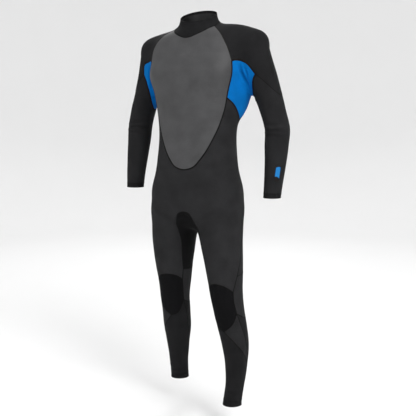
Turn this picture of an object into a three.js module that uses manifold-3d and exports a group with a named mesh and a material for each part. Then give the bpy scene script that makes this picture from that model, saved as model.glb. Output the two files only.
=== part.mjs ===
// Full-length wetsuit with a back zip, shaped as it is when worn by a walking figure.
//
// The suit is cut from flat panels that meet edge to edge along seams, so it is built the same way.  A
// smooth solid, "the wearer", is written once as a formula.  Every seam is a curve that lies on it, and each
// panel is a thin shell stretched between its seams.  Neighbours share their seam points, less a gap.
//
// +X is the wearer's left, -Y is the front, +Z is up.  Heights are written in millimetres above the soles at
// the base size, and are graded to the driving lengths below.  The origin is the centre of the neck opening.
import * as THREE from 'three';
import { mergeVertices } from 'three/addons/utils/BufferGeometryUtils.js';
import Module from 'manifold-3d';

// ---------------------------------------------------------------- driving dimensions, millimetres
const torsoLength = 640; // crotch line to shoulder line
const legLength = 660; // crotch line to ankle line
const sleeveLength = 530; // shoulder line to cuff line
const bodyWidth = 342; // across the torso at the chest
const bodyDepth = 224; // front to back at the chest
const bodyNeoprene = 3; // torso and thigh panels
const limbNeoprene = 2; // sleeves and lower legs
const kneePadThickness = 3.4;
const kneePadProud = 0.6; // how far a pad stands above its neighbours
const seamGap = 0.4; // between neighbouring panels
const touchGap = 0.35; // between pieces that lie on each other
const collarNeoprene = 2.6;
const collarRimFront = 1511; // height of the rim at the base size
const collarRimBack = 1560;
const sealNeoprene = 1.2; // thin inner neck seal
const sealBelowRim = 10;
const cuffBand = 18; // turned hem at the wrist
const cuffBandThickness = 2.6;
const ankleBand = 20; // turned hem at the ankle
const ankleBandThickness = 2.6;
const hemProud = 0.4; // how far the turned hems stand out
const zipOpening = 18; // between the back panels' edges
const zipTapeWidth = 18;
const zipTapeThickness = 1;
const zipSlot = 1.2; // between the two tapes and rows of teeth
const zipTeethWidth = 2.2;
const zipTeethHeight = 2.2;
const zipSliderWidth = 12;
const zipSliderLength = 22;
const zipSliderPlate = 1.6;
const zipSliderWeb = 0.6;
const zipPullLength = 34;
const zipPullWidth = 10;
const zipPullThickness = 2;
const zipLugEye = 2; // radius of the hole that holds the pull's bar
const zipLugWall = 2;
const zipLugThickness = 1.8;
const zipPullBar = 1.6;
const zipFlapWidth = 66; // seal flap behind the zip
const zipFlapThickness = 1.5;
const collarTabLength = 78;
const collarTabHeight = 34;
const collarTabThickness = 2;
const loopPatchLength = 44;
const loopPatchThickness = 0.8;
const badgeWidth = 20;
const badgeLength = 56;
const badgeThickness = 0.9;

// ---------------------------------------------------------------- grading from the base size
const base = { crotch: 760, torso: 640, leg: 660, shoulder: 1400, sleeve: 530, width: 342, depth: 224 };
const neckCentre = { y: 18, height: 1478 };
const widthGrade = bodyWidth / base.width;
const depthGrade = bodyDepth / base.depth;
const torsoGrade = torsoLength / base.torso;
const legGrade = legLength / base.leg;
const sleeveGrade = sleeveLength / base.sleeve / torsoGrade;

// Heights above the crotch line follow the torso, and heights below it follow the leg.
function gradedHeight(height) {
  const above = height - base.crotch;
  return base.crotch + above * (above > 0 ? torsoGrade : legGrade);
}

function baseHeight(graded) {
  const above = graded - base.crotch;
  return base.crotch + above / (above > 0 ? torsoGrade : legGrade);
}

// A height on the sleeve, which hangs from the shoulder line and has its own length.
function sleeveHeight(height) {
  return base.shoulder - (base.shoulder - height) * sleeveGrade;
}

// ---------------------------------------------------------------- the wearer
// Each table row is one level: height, centre x, centre y, half width, half depth.
const leftLeg = [
  [850, 84, 8, 86, 100], [760, 102, -6, 85, 94], [680, 122, -32, 78, 83], [600, 147, -64, 69, 74],
  [530, 167, -92, 61, 66], [465, 187, -112, 56, 62], [400, 198, -106, 54, 60], [330, 205, -92, 49, 58],
  [250, 206, -84, 41, 47], [170, 200, -82, 35, 38], [100, 192, -88, 34, 36],
];
const rightLeg = [
  [850, -84, 8, 86, 100], [760, -93, 6, 89, 96], [680, -99, 6, 84, 86], [600, -101, 8, 74, 76],
  [530, -99, 10, 64, 67], [465, -100, 14, 56, 62], [400, -102, 28, 54, 60], [330, -106, 46, 52, 59],
  [250, -111, 62, 43, 47], [170, -115, 76, 36, 39], [100, -117, 88, 34, 37],
];
const leftArm = [
  [1400, 210, 42, 60, 62], [1330, 233, 46, 60, 60], [1260, 259, 52, 54, 56], [1190, 283, 58, 49, 51],
  [1120, 302, 62, 47, 49], [1050, 304, 52, 44, 46], [980, 304, 40, 39, 41], [920, 302, 30, 35, 36],
  [870, 300, 22, 32, 33],
].map(([height, ...rest]) => [sleeveHeight(height), ...rest]);
const rightArmInset = [20, 26, 27, 24, 25, 25, 23, 20, 19]; // the right arm hangs this much closer
const rightArm = leftArm.map(([height, x, ...rest], row) => [height, rightArmInset[row] - x, ...rest]);
const neck = [[1400, 0, 14, 84, 84], [1460, 0, 18, 73, 73], [1500, 0, 20, 67, 69], [1560, 0, 20, 66, 69]];
const torsoOutline = [ // height, half width, front y, back y
  [830, 170, -110, 131], [900, 168, -112, 128], [980, 157, -110, 124], [1060, 149, -104, 122],
  [1120, 148, -102, 120.4], [1190, 155, -104, 118.6], [1260, 163, -108, 116.8], [1330, 171, -106, 114.6],
  [1390, 176, -96, 110],
];
const torso = torsoOutline.map(([height, half, front, back]) =>
  [height, 0, (front + back) / 2, half, (back - front) / 2]);
const muscles = [ // centre, radii
  [[70, -48, 1322], [82, 60, 56]], [[-70, -48, 1322], [82, 60, 56]], // chest
  [[122, 36, 1440], [98, 52, 53]], [[-112, 36, 1428], [90, 50, 49]], // top of each shoulder
  [[152, 56, 1285], [44, 50, 110]], [[-138, 56, 1296], [38, 50, 92]], // flank behind each armpit
  [[0, 30, 1460], [70, 46, 60]], // nape
];
const tubes = [ // levels, roundness of the section, length of the top cap and of the bottom cap
  { rows: torso, roundness: 2.35, topCap: 98, bottomCap: 90 },
  { rows: neck, roundness: 2, bottomCap: 60 },
  { rows: leftArm, roundness: 2, topCap: 64 },
  { rows: rightArm, roundness: 2, topCap: 64 },
  { rows: leftLeg, roundness: 2, topCap: 80 },
  { rows: rightLeg, roundness: 2, topCap: 80 },
].map((tube) => ({ ...tube, rows: withSlopes(tube.rows) }));
const capRoundness = 2.6;
const blendRadius = 14; // how widely limbs and muscles melt together
const leftShoulderRise = 0.05; // the left shoulder is carried higher, per millimetre from the middle
const riseBegins = 1100;
const riseLength = 250;

// Rows sorted upwards, each with the slope of every value against height.
function withSlopes(table) {
  const rows = [...table].sort((a, b) => a[0] - b[0]);
  return rows.map((row, i) => {
    const below = rows[Math.max(i - 1, 0)];
    const above = rows[Math.min(i + 1, rows.length - 1)];
    const down = row[0] - below[0];
    const up = above[0] - row[0];
    const slopes = row.slice(1).map((value, k) => {
      const lower = down > 0 ? (value - below[k + 1]) / down : 0;
      const upper = up > 0 ? (above[k + 1] - value) / up : 0;
      if (down === 0) return upper;
      if (up === 0) return lower;
      return (lower * up + upper * down) / (up + down);
    });
    return { height: row[0], values: row.slice(1), slopes };
  });
}

// Smooth values at one height: a cubic between each pair of levels.
function levelAt(rows, height) {
  let i = 0;
  while (i < rows.length - 2 && height > rows[i + 1].height) i += 1;
  const low = rows[i];
  const high = rows[i + 1];
  const span = high.height - low.height;
  const t = Math.min(Math.max((height - low.height) / span, 0), 1);
  const rise = t * t * (3 - 2 * t);
  return low.values.map((value, k) => value * (1 - rise) + high.values[k] * rise
    + span * (low.slopes[k] * t * (1 - t) ** 2 - high.slopes[k] * t * t * (1 - t)));
}

function tubeDistance(tube, x, y, height) {
  const { rows, roundness, topCap, bottomCap } = tube;
  const [cx, cy, halfWidth, halfDepth] = levelAt(rows, height);
  let r = (Math.abs((x - cx) / halfWidth) ** roundness + Math.abs((y - cy) / halfDepth) ** roundness)
    ** (1 / roundness);
  const over = height - rows[rows.length - 1].height;
  const under = rows[0].height - height;
  for (const [past, cap] of [[over, topCap], [under, bottomCap]]) {
    if (cap && past > 0) r = (r ** capRoundness + (past / cap) ** capRoundness) ** (1 / capRoundness);
  }
  return (r - 1) * Math.min(halfWidth, halfDepth);
}

// Below zero inside the wearer, above zero outside, and close to a distance near the skin.
function wearer(point) {
  const x = point[0] / widthGrade;
  const y = point[1] / depthGrade;
  const z = baseHeight(point[2]);
  const s = Math.min(Math.max((z - riseBegins) / riseLength, 0), 1);
  const height = z - leftShoulderRise * x * s * s * (3 - 2 * s);
  const distances = tubes.map((tube) => tubeDistance(tube, x, y, height));
  for (const [centre, radii] of muscles) {
    const offsets = [x - centre[0], y - centre[1], height - centre[2]];
    const q = Math.hypot(...offsets.map((offset, axis) => offset / radii[axis]));
    distances.push((q - 1) * Math.min(...radii));
  }
  const nearest = Math.min(...distances);
  const sum = distances.reduce((total, d) => total + Math.exp((nearest - d) / blendRadius), 0);
  return nearest - blendRadius * Math.log(sum);
}

// ---------------------------------------------------------------- points and curves on the wearer
const add = (a, b, scale = 1) => [a[0] + b[0] * scale, a[1] + b[1] * scale, a[2] + b[2] * scale];
const minus = (a, b) => add(a, b, -1);
const dot = (a, b) => a[0] * b[0] + a[1] * b[1] + a[2] * b[2];
const cross = (a, b) => [a[1] * b[2] - a[2] * b[1], a[2] * b[0] - a[0] * b[2], a[0] * b[1] - a[1] * b[0]];
const unit = (a) => add([0, 0, 0], a, 1 / (Math.hypot(...a) || 1));
const mix = (a, b, t) => add(a, minus(b, a), t);
const radians = (degrees) => degrees * Math.PI / 180;

function gradient(point) {
  const step = 0.25;
  return [0, 1, 2].map((axis) => {
    const ahead = [...point];
    const behind = [...point];
    ahead[axis] += step;
    behind[axis] -= step;
    return (wearer(ahead) - wearer(behind)) / (2 * step);
  });
}

const outward = (point) => unit(gradient(point));

// Moves a point that is near the skin onto it.
function settle(point) {
  let p = point;
  for (let i = 0; i < 14; i += 1) {
    const f = wearer(p);
    if (Math.abs(f) < 1e-4) break;
    const g = gradient(p);
    const reach = f / Math.max(dot(g, g), 0.15);
    p = add(p, g, -Math.sign(reach) * Math.min(Math.abs(reach), 20));
  }
  return p;
}

// The point where a straight line from inside the wearer first comes out.
function emerge(from, direction) {
  const heading = unit(direction);
  let far = 0;
  while (wearer(add(from, heading, far)) < 0) far += 4;
  let near = far - 4;
  for (let i = 0; i < 30; i += 1) {
    const middle = (near + far) / 2;
    if (wearer(add(from, heading, middle)) < 0) near = middle;
    else far = middle;
  }
  return add(from, heading, far);
}

// A point on the torso: degrees round from the front towards the wearer's left, and height.
function onTorso(degrees, height) {
  const a = radians(degrees);
  const heading = [Math.sin(a) * widthGrade, -Math.cos(a) * depthGrade, 0];
  return emerge([0, 10 * depthGrade, gradedHeight(height)], heading);
}

// A point on a limb: degrees round from the front towards the outside, and height.
function onLimb(rows, side, degrees, height) {
  const a = radians(degrees);
  const [cx, cy] = levelAt(rows, height);
  const centre = [cx * widthGrade, cy * depthGrade, gradedHeight(height)];
  return emerge(centre, [side * Math.sin(a) * widthGrade, -Math.cos(a) * depthGrade, 0]);
}

const legRows = { 1: withSlopes(leftLeg), '-1': withSlopes(rightLeg) };
const armRows = { 1: withSlopes(leftArm), '-1': withSlopes(rightArm) };
const onLeg = (side, degrees, height) => onLimb(legRows[side], side, degrees, height);
const onArm = (side, degrees, height) => onLimb(armRows[side], side, degrees, sleeveHeight(height));

// A point named by its base-size position, moved onto the skin.
function near(x, y, height) {
  return settle([x * widthGrade, y * depthGrade, gradedHeight(height)]);
}

// A seam: a smooth curve through the knots, in `steps` equal steps, lying on the skin.
function seam(steps, ...knots) {
  const path = knots.map((knot) => new THREE.Vector3(...knot));
  const curve = new THREE.CatmullRomCurve3(path, false, 'centripetal');
  const points = curve.getSpacedPoints(steps).map((p) => settle(p.toArray()));
  points[0] = knots[0];
  points[steps] = knots[knots.length - 1];
  return points;
}

const turned = (curve) => [...curve].reverse();
const joined = (...curves) => curves.reduce((whole, curve) => [...whole, ...curve.slice(1)]);
const last = (curve) => curve[curve.length - 1];

// ---------------------------------------------------------------- panels
// A grid of points stretched between four edges.  bottom and top run left to right, left and right upwards.
function stretch(bottom, right, top, left) {
  const rows = left.length - 1;
  const columns = bottom.length - 1;
  if (right.length !== left.length || top.length !== bottom.length) throw new Error('opposite edges differ');
  return left.map((leftPoint, j) => bottom.map((bottomPoint, i) => {
    if (j === 0) return bottomPoint;
    if (j === rows) return top[i];
    if (i === 0) return leftPoint;
    if (i === columns) return right[j];
    const u = i / columns;
    const v = j / rows;
    const acrossEdges = mix(leftPoint, right[j], u);
    const alongEdges = mix(bottomPoint, top[i], v);
    const corners = mix(mix(bottom[0], bottom[columns], u), mix(top[0], top[columns], u), v);
    return settle(minus(add(acrossEdges, alongEdges), corners));
  }));
}

// A closed band between two rings, each of which starts and ends at one point.
function band(lowRing, highRing, rows) {
  const side = seam(rows, lowRing[0], highRing[0]);
  return stretch(lowRing, side, highRing, side);
}

// Turns grids of skin points into one closed solid.  `lift` raises the outer face above the skin, and may be
// a function of the place across and along the grid.  Free edges are drawn in by half a seam.
function shell(grids, thickness, lift = 0, gap = seamGap) {
  const points = [];
  const lifts = [];
  const index = new Map();
  const vertex = (point, raise) => {
    const key = point.map((value) => Math.round(value * 1000)).join();
    if (!index.has(key)) {
      index.set(key, points.length);
      points.push(point);
      lifts.push(raise);
    }
    return index.get(key);
  };
  const faces = [];
  for (const grid of grids) {
    const rows = grid.length - 1;
    const columns = grid[0].length - 1;
    const ids = grid.map((row, j) => row.map((point, i) =>
      vertex(point, typeof lift === 'function' ? lift(i / columns, j / rows) : lift)));
    const quads = [];
    for (let j = 0; j < rows; j += 1) {
      for (let i = 0; i < columns; i += 1) {
        const [a, b, c, d] = [ids[j][i], ids[j][i + 1], ids[j + 1][i + 1], ids[j + 1][i]];
        const apart = (from, to) => Math.hypot(...minus(points[from], points[to]));
        quads.push(...(apart(a, c) < apart(b, d) ? [[a, b, c], [a, c, d]] : [[a, b, d], [b, c, d]]));
      }
    }
    const whole = quads.filter(([a, b, c]) => a !== b && b !== c && c !== a);
    const facing = whole.reduce((total, [a, b, c]) =>
      total + dot(cross(minus(points[b], points[a]), minus(points[c], points[a])), outward(points[a])), 0);
    faces.push(...(facing > 0 ? whole : whole.map(([a, b, c]) => [a, c, b])));
  }
  const edges = new Set(faces.flatMap(([a, b, c]) => [`${a},${b}`, `${b},${c}`, `${c},${a}`]));
  const pairs = [...edges].map((edge) => edge.split(',').map(Number));
  const rim = pairs.filter(([a, b]) => !edges.has(`${b},${a}`));
  const normals = points.map(outward);
  const draws = points.map(() => []);
  for (const [a, b] of rim) {
    for (const end of [a, b]) {
      draws[end].push(unit(cross(normals[end], minus(points[b], points[a]))));
    }
  }
  const outer = points.map((point, k) => {
    const [first, second] = draws[k];
    const raised = add(point, normals[k], lifts[k]);
    if (!first) return raised;
    const spread = Math.max(1 + dot(first, second), 0.3);
    return add(raised, add(first, second), gap / 2 / spread);
  });
  const inner = outer.map((point, k) => add(point, normals[k], -thickness));
  const count = points.length;
  const triangles = [
    ...faces,
    ...faces.map(([a, b, c]) => [a + count, c + count, b + count]),
    // Both neighbours fold their edge walls the same way, from the higher end.
    ...rim.flatMap(([a, b]) => (points[a][2] > points[b][2]
      ? [[b, a, a + count], [b, a + count, b + count]]
      : [[b, a, b + count], [a, a + count, b + count]])),
  ];
  const geometry = new THREE.BufferGeometry();
  geometry.setAttribute('position', new THREE.Float32BufferAttribute([...outer, ...inner].flat(), 3));
  geometry.setIndex(triangles.flat());
  geometry.computeVertexNormals();
  return geometry;
}

// ---------------------------------------------------------------- materials
const finish = (color, roughness, metalness = 0) => ({ color, roughness, metalness });
const jersey = finish(0x2b2b2b, 0.85); // knitted nylon face
const darkJersey = finish(0x222222, 0.85);
const smoothSkin = finish(0x4a4a4a, 0.45); // bare neoprene on the chest
const blueJersey = finish(0x0066ac, 0.8);
const kneeRubber = finish(0x181818, 0.9);
const tapeBlack = finish(0x101010, 0.8);
const zipPlastic = finish(0x151515, 0.4);
const zipMetal = finish(0x9a9a9a, 0.35, 1);
const badgeBlue = finish(0x22648f, 0.5);

const suit = new THREE.Group();
suit.position.set(0, -neckCentre.y * depthGrade, -gradedHeight(neckCentre.height));

function piece(name, geometry, material) {
  const mesh = new THREE.Mesh(geometry, new THREE.MeshStandardMaterial(material));
  mesh.name = name;
  suit.add(mesh);
  return mesh;
}

// ---------------------------------------------------------------- the neck line
const sides = [[1, 'left'], [-1, 'right']];
const neckFront = 76; // degrees from the front to the front raglan seam
const neckBack = 120; // and to the back raglan seam
const neckLine = { halfWidth: 84, front: -85, back: 92 }; // the collar seam seen from above, an oval
const zipHalf = zipOpening / 2;

// The collar seam at one direction: the oval, dropped onto the shoulders.
function neckAt(degrees) {
  const middle = (neckLine.front + neckLine.back) / 2;
  const depth = (neckLine.back - neckLine.front) / 2;
  const x = neckLine.halfWidth * Math.sin(radians(degrees));
  const y = middle - depth * Math.cos(radians(degrees));
  return emerge([x * widthGrade, y * depthGrade, gradedHeight(1395)], [0, 0, 1]);
}

const onSpine = (x, height) => emerge([x, 10 * depthGrade, gradedHeight(height)], [0, 1, 0]);
const neckKnots = (from, to) => [0, 1, 2, 3, 4].map((k) => neckAt(from + (to - from) * k / 4));
const zipTurn = Math.asin(zipHalf / neckLine.halfWidth / widthGrade) * 180 / Math.PI;
const neckAtZip = { 1: neckAt(180 - zipTurn), '-1': neckAt(zipTurn - 180) };
const neckMiddle = neckAt(180);
const neckFrontSeam = seam(6, ...neckKnots(-neckFront, neckFront)); // right to left across the front
const seams = {};
for (const [side] of sides) {
  const front = side > 0 ? last(neckFrontSeam) : neckFrontSeam[0];
  const back = neckAt(side * neckBack);
  seams[side] = {
    neckSide: seam(6, front, neckAt(side * 91), neckAt(side * 105), back),
    neckBack: seam(6, back, neckAt(side * 138), neckAt(side * 156), neckAtZip[side]),
    neckZip: seam(2, neckAtZip[side], neckMiddle),
  };
}

// ---------------------------------------------------------------- shoulder, underarm and sleeve seams
const foldFromMiddle = { 1: 193, '-1': 186 }; // the crease between arm and torso
const armpitDrop = { 1: 0, '-1': 22 }; // the closer arm's web reaches lower
const chestTop = { x: 165, y: -50, height: 1367 }; // where the raglan seam meets the underarm panel
for (const [side] of sides) {
  const s = seams[side];
  const at = (x, y, height) => near(side * x, y, height);
  const drop = armpitDrop[side];
  const [raglanFront, raglanBack] = [s.neckSide[0], last(s.neckSide)];
  const chest = at(chestTop.x, chestTop.y, chestTop.height);
  const blade = at(160, 112, 1362);
  const armFront = onArm(side, 7, 1320);
  const armBack = onArm(side, 172, 1322);
  const foldFront = at(foldFromMiddle[side] - 3, -28, 1369);
  const foldBack = at(foldFromMiddle[side] - 3, 108, 1366);
  const ribFront = onTorso(side * 68, 1234);
  const ribBack = onTorso(side * 128, 1232);
  const flank = onTorso(side * 101, 1152);
  s.raglanFront = seam(5, raglanFront, at(108, -37, 1464), at(137, -53, 1436), at(157, -55, 1403), chest);
  s.raglanBack = seam(5, raglanBack, at(100, 95, 1455), at(132, 112, 1425), at(152, 115, 1394), blade);
  s.armholeFront = joined(
    seam(2, chest, at(176, -40, 1371), foldFront),
    seam(2, foldFront, at(212, -20, 1357), armFront),
  );
  s.armholeBack = joined(
    seam(2, blade, at(175, 112, 1368), foldBack),
    seam(2, foldBack, at(212, 104, 1356), armBack),
  );
  s.underarmFront = joined(
    seam(4, chest, onTorso(side * 69, 1300), ribFront),
    seam(3, ribFront, onTorso(side * 83, 1206), flank),
  );
  s.underarmBack = joined(
    seam(4, blade, onTorso(side * 126, 1300), ribBack),
    seam(3, ribBack, onTorso(side * 117, 1200), flank),
  );
  const insideFold = [side * foldFromMiddle[side] * widthGrade, 42 * depthGrade, gradedHeight(1366)];
  const armpit = [30, 60, 90, 120, 150].map((turn) =>
    emerge(insideFold, [0, -Math.cos(radians(turn)), -Math.sin(radians(turn))]));
  s.fold = seam(14, foldFront, ...armpit, foldBack);
  s.sleeveIn = seam(14, armFront, onArm(side, -12, 1300 - drop / 2), onArm(side, -34, 1268 - drop),
    onArm(side, -60, 1238 - drop * 1.5), onArm(side, -90, 1216 - drop * 1.5),
    onArm(side, -120, 1236 - drop * 1.5), onArm(side, -148, 1268 - drop), onArm(side, -172, 1300), armBack);
  s.sleeveOut = seam(6, armFront, onArm(side, 30, 1292), onArm(side, 60, 1258), onArm(side, 90, 1243),
    onArm(side, 120, 1258), onArm(side, 150, 1292), armBack);
  const fromBone = (x, height, out, up) =>
    emerge([side * x * widthGrade, 38 * depthGrade, gradedHeight(height)], [side * out, 0, up]);
  s.shoulderRidge = seam(9, s.neckSide[3], fromBone(110, 1400, 0, 1), fromBone(150, 1400, 0, 1),
    fromBone(180, 1380, 0.3, 1), fromBone(195, 1365, 0.8, 1), fromBone(205, 1345, 1, 0.5),
    fromBone(215, 1300, 1, 0.1), s.sleeveOut[3]);
  s.sleeveTop = joined(turned(s.sleeveOut), s.sleeveIn); // starts and ends at the back of the arm
}

// ---------------------------------------------------------------- chest, side, waist and hip seams
const waistHeight = 985;
for (const [side] of sides) {
  const s = seams[side];
  const chestLow = onTorso(side * 31, 1012);
  s.chestSide = seam(5, s.underarmFront[4], onTorso(side * 66, 1190), onTorso(side * 59, 1130),
    onTorso(side * 50, 1084), onTorso(side * 40, 1042), chestLow);
  const flank = last(s.underarmFront);
  const waist = onTorso(side * 103, waistHeight);
  const hip = onLeg(side, 98, 795);
  s.sideUpper = seam(3, flank, onTorso(side * 104, 1070), waist);
  s.sideLower = seam(5, waist, onTorso(side * 102, 900), hip);
}
const chestBottom = seam(6, last(seams[-1].chestSide), onTorso(-18, 981), onTorso(0, 970), onTorso(18, 981),
  last(seams[1].chestSide));

// ---------------------------------------------------------------- crotch, thigh, knee and ankle seams
const ankleHeight = { 1: 92, '-1': 106 };
for (const [side] of sides) {
  const s = seams[side];
  const leg = (degrees, height) => onLeg(side, degrees, height);
  const groin = near(side * 42, -80, 770);
  const rear = near(side * 44, 96, 772);
  const hip = last(s.sideLower);
  const padOut = leg(48, 532);
  const padIn = leg(-54, 536);
  const padLowOut = leg(52, 458);
  const padLowIn = leg(-62, 452);
  const padTip = leg(-8, 390);
  const kneeOut = leg(66, 584);
  const innerFront = leg(-56, 578);
  const innerBack = leg(-124, 578);
  const calfTip = leg(96, 256);
  const hemHeight = ankleHeight[side] + ankleBand;
  const hemOut = leg(92, hemHeight);
  const hemIn = leg(-86, hemHeight);
  s.hipFront = seam(8, groin, leg(-8, 782), leg(45, 792), hip); // a line inside the front panel
  s.hipBack = seam(5, rear, leg(188, 782), leg(140, 792), hip);
  s.thighOut = joined(
    seam(6, hip, leg(94, 700), leg(84, 640), kneeOut),
    seam(2, kneeOut, leg(56, 556), padOut),
  );
  s.thighIn = joined(seam(6, groin, leg(-44, 700), leg(-50, 640), innerFront), seam(2, innerFront, padIn));
  s.thighBackIn = seam(6, rear, leg(-132, 700), leg(-128, 640), innerBack);
  s.crotchArc = seam(5, groin, leg(-66, 722), leg(-90, 712), leg(-114, 722), rear);
  s.innerEnd = seam(5, innerFront, leg(-90, 576), innerBack);
  s.kneeBackTop = seam(5, kneeOut, leg(110, 590), leg(180, 590), leg(214, 584), innerBack);
  s.padTop = seam(8, padOut, leg(20, 552), leg(-8, 558), leg(-34, 551), padIn);
  s.padOut = seam(3, padOut, leg(47, 498), padLowOut);
  s.padIn = seam(3, padIn, leg(-58, 496), padLowIn);
  s.padLowOut = seam(3, padLowOut, leg(32, 424), padTip);
  s.padLowIn = seam(5, padTip, leg(-34, 402), padLowIn);
  s.kneeBackLow = seam(10, padLowOut, leg(90, 438), leg(135, 430), leg(180, 428), leg(225, 430),
    leg(270, 438), padLowIn);
  s.calfEdge = seam(5, padLowOut, leg(66, 400), leg(82, 330), calfTip);
  s.shinEdge = seam(5, padTip, leg(22, 350), leg(62, 300), calfTip);
  s.calfSide = seam(4, calfTip, leg(96, 190), hemOut);
  s.shinIn = seam(9, padLowIn, leg(-78, 380), leg(-86, 260), hemIn);
  s.ankleFront = seam(5, hemOut, leg(45, hemHeight), leg(0, hemHeight), leg(-45, hemHeight), hemIn);
  s.ankleBack = seam(10, hemOut, leg(135, hemHeight), leg(180, hemHeight), leg(225, hemHeight), hemIn);
}
const crotchFront = seam(6, seams[-1].thighIn[0], near(-24, -100, 806), near(0, -106, 813),
  near(24, -100, 806), seams[1].thighIn[0]);
const crotchBack = seam(6, seams[-1].thighBackIn[0], near(-24, 118, 802), near(0, 124, 809),
  near(24, 118, 802), seams[1].thighBackIn[0]);

// ---------------------------------------------------------------- back, waist and zip seams
const spineKnots = (x, from, to, steps) =>
  Array.from({ length: steps + 1 }, (_, k) => onSpine(x, from + (to - from) * k / steps));
for (const [side] of sides) {
  const s = seams[side];
  const waist = s.sideUpper[3];
  s.zipEdge = seam(15, neckAtZip[side], ...spineKnots(side * zipHalf, 1478, waistHeight, 14));
  const [loin, spine] = [onTorso(side * 130, waistHeight), onTorso(side * 155, waistHeight)];
  s.waistBack = seam(6, waist, loin, spine, last(s.zipEdge));
}
const waistMiddle = seam(4, last(seams[1].zipEdge), onSpine(0, waistHeight), last(seams[-1].zipEdge));

// ---------------------------------------------------------------- upper body panels
const chestSides = (side) =>
  joined(seams[side].raglanFront, seams[side].underarmFront.slice(0, 5), seams[side].chestSide);
const chestGrid = stretch(chestBottom, turned(chestSides(1)), neckFrontSeam, turned(chestSides(-1)));
piece('chest_panel', shell([chestGrid], bodyNeoprene), smoothSkin);

for (const [side, hand] of sides) {
  const s = seams[side];
  const front = joined(s.raglanFront, s.armholeFront);
  const back = joined(s.raglanBack, s.armholeBack);
  piece(`shoulder_${hand}`, shell([
    stretch(front, s.sleeveOut.slice(0, 4), s.shoulderRidge, s.neckSide.slice(0, 4)),
    stretch(s.shoulderRidge, s.sleeveOut.slice(3), back, s.neckSide.slice(3)),
  ], bodyNeoprene), darkJersey);
  const torsoEdge = joined(s.underarmFront, turned(s.underarmBack));
  piece(`underarm_${hand}`, shell([
    stretch(torsoEdge, s.armholeBack.slice(0, 3), s.fold, s.armholeFront.slice(0, 3)),
    stretch(s.fold, s.armholeBack.slice(2), s.sleeveIn, s.armholeFront.slice(2)),
  ], bodyNeoprene), blueJersey);
  const backOuter = joined(s.raglanBack, s.underarmBack, s.sideUpper);
  const backGrid = stretch(s.neckBack, s.zipEdge, s.waistBack, backOuter);
  piece(`back_panel_${hand}`, shell([backGrid], bodyNeoprene), jersey);
}

// ---------------------------------------------------------------- front, seat and gusset
const frontTop = joined(turned(seams[-1].underarmFront.slice(4)), seams[-1].chestSide, chestBottom,
  turned(seams[1].chestSide), seams[1].underarmFront.slice(4));
const frontHip = joined(turned(seams[-1].hipFront), crotchFront, seams[1].hipFront);
const sideSeam = (side) => joined(seams[side].sideUpper, seams[side].sideLower);
const thighFront = (side) => {
  const s = seams[side];
  return stretch(s.hipFront, s.thighOut, turned(s.padTop), s.thighIn);
};
const belly = stretch(frontTop, sideSeam(1), frontHip, sideSeam(-1));
piece('front_body_panel', shell([belly, thighFront(1), thighFront(-1)], bodyNeoprene), jersey);

const seatTop = joined(seams[1].waistBack, waistMiddle, turned(seams[-1].waistBack));
const seatHip = joined(turned(seams[1].hipBack), turned(crotchBack), seams[-1].hipBack);
const thighBack = (side) => {
  const s = seams[side];
  return stretch(s.hipBack, s.thighOut.slice(0, 7), turned(s.kneeBackTop), s.thighBackIn);
};
const seat = stretch(seatTop, seams[-1].sideLower, seatHip, seams[1].sideLower);
piece('seat_panel', shell([seat, thighBack(1), thighBack(-1)], bodyNeoprene), jersey);

const innerThigh = (side) => {
  const s = seams[side];
  return stretch(s.crotchArc, s.thighBackIn, s.innerEnd, s.thighIn.slice(0, 7));
};
const crotch = stretch(crotchFront, seams[1].crotchArc, crotchBack, seams[-1].crotchArc);
piece('crotch_gusset', shell([crotch, innerThigh(1), innerThigh(-1)], bodyNeoprene), darkJersey);

// ---------------------------------------------------------------- knees and lower legs
for (const [side, hand] of sides) {
  const s = seams[side];
  const padGrid = stretch(s.padTop, s.padIn, joined(s.padLowOut, s.padLowIn), s.padOut);
  const backKneeGrid = stretch(
    joined(s.kneeBackTop, turned(s.innerEnd)),
    joined(s.thighIn.slice(6), s.padIn),
    s.kneeBackLow,
    joined(s.thighOut.slice(6), s.padOut),
  );
  const insertGrid = stretch(s.padLowOut, s.shinEdge, Array(4).fill(last(s.shinEdge)), s.calfEdge);
  const shinGrid = stretch(s.padLowIn, s.shinIn, s.ankleFront, joined(s.shinEdge, s.calfSide));
  const calfGrid = stretch(s.kneeBackLow, s.shinIn, s.ankleBack, joined(s.calfEdge, s.calfSide));
  piece(`knee_pad_${hand}`, shell([padGrid], kneePadThickness, kneePadProud), kneeRubber);
  piece(`back_knee_${hand}`, shell([backKneeGrid], limbNeoprene), jersey);
  piece(`calf_insert_${hand}`, shell([insertGrid], limbNeoprene), jersey);
  piece(`shin_panel_${hand}`, shell([shinGrid], limbNeoprene), jersey);
  piece(`calf_panel_${hand}`, shell([calfGrid], limbNeoprene), jersey);
  const ankleRing = joined(s.ankleFront, turned(s.ankleBack));
  const hemRing = ankleRing.map((point) => settle(add(point, [0, 0, -ankleBand])));
  hemRing[hemRing.length - 1] = hemRing[0];
  piece(`ankle_hem_${hand}`, shell([band(ankleRing, hemRing, 1)], ankleBandThickness, hemProud), darkJersey);
}

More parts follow.
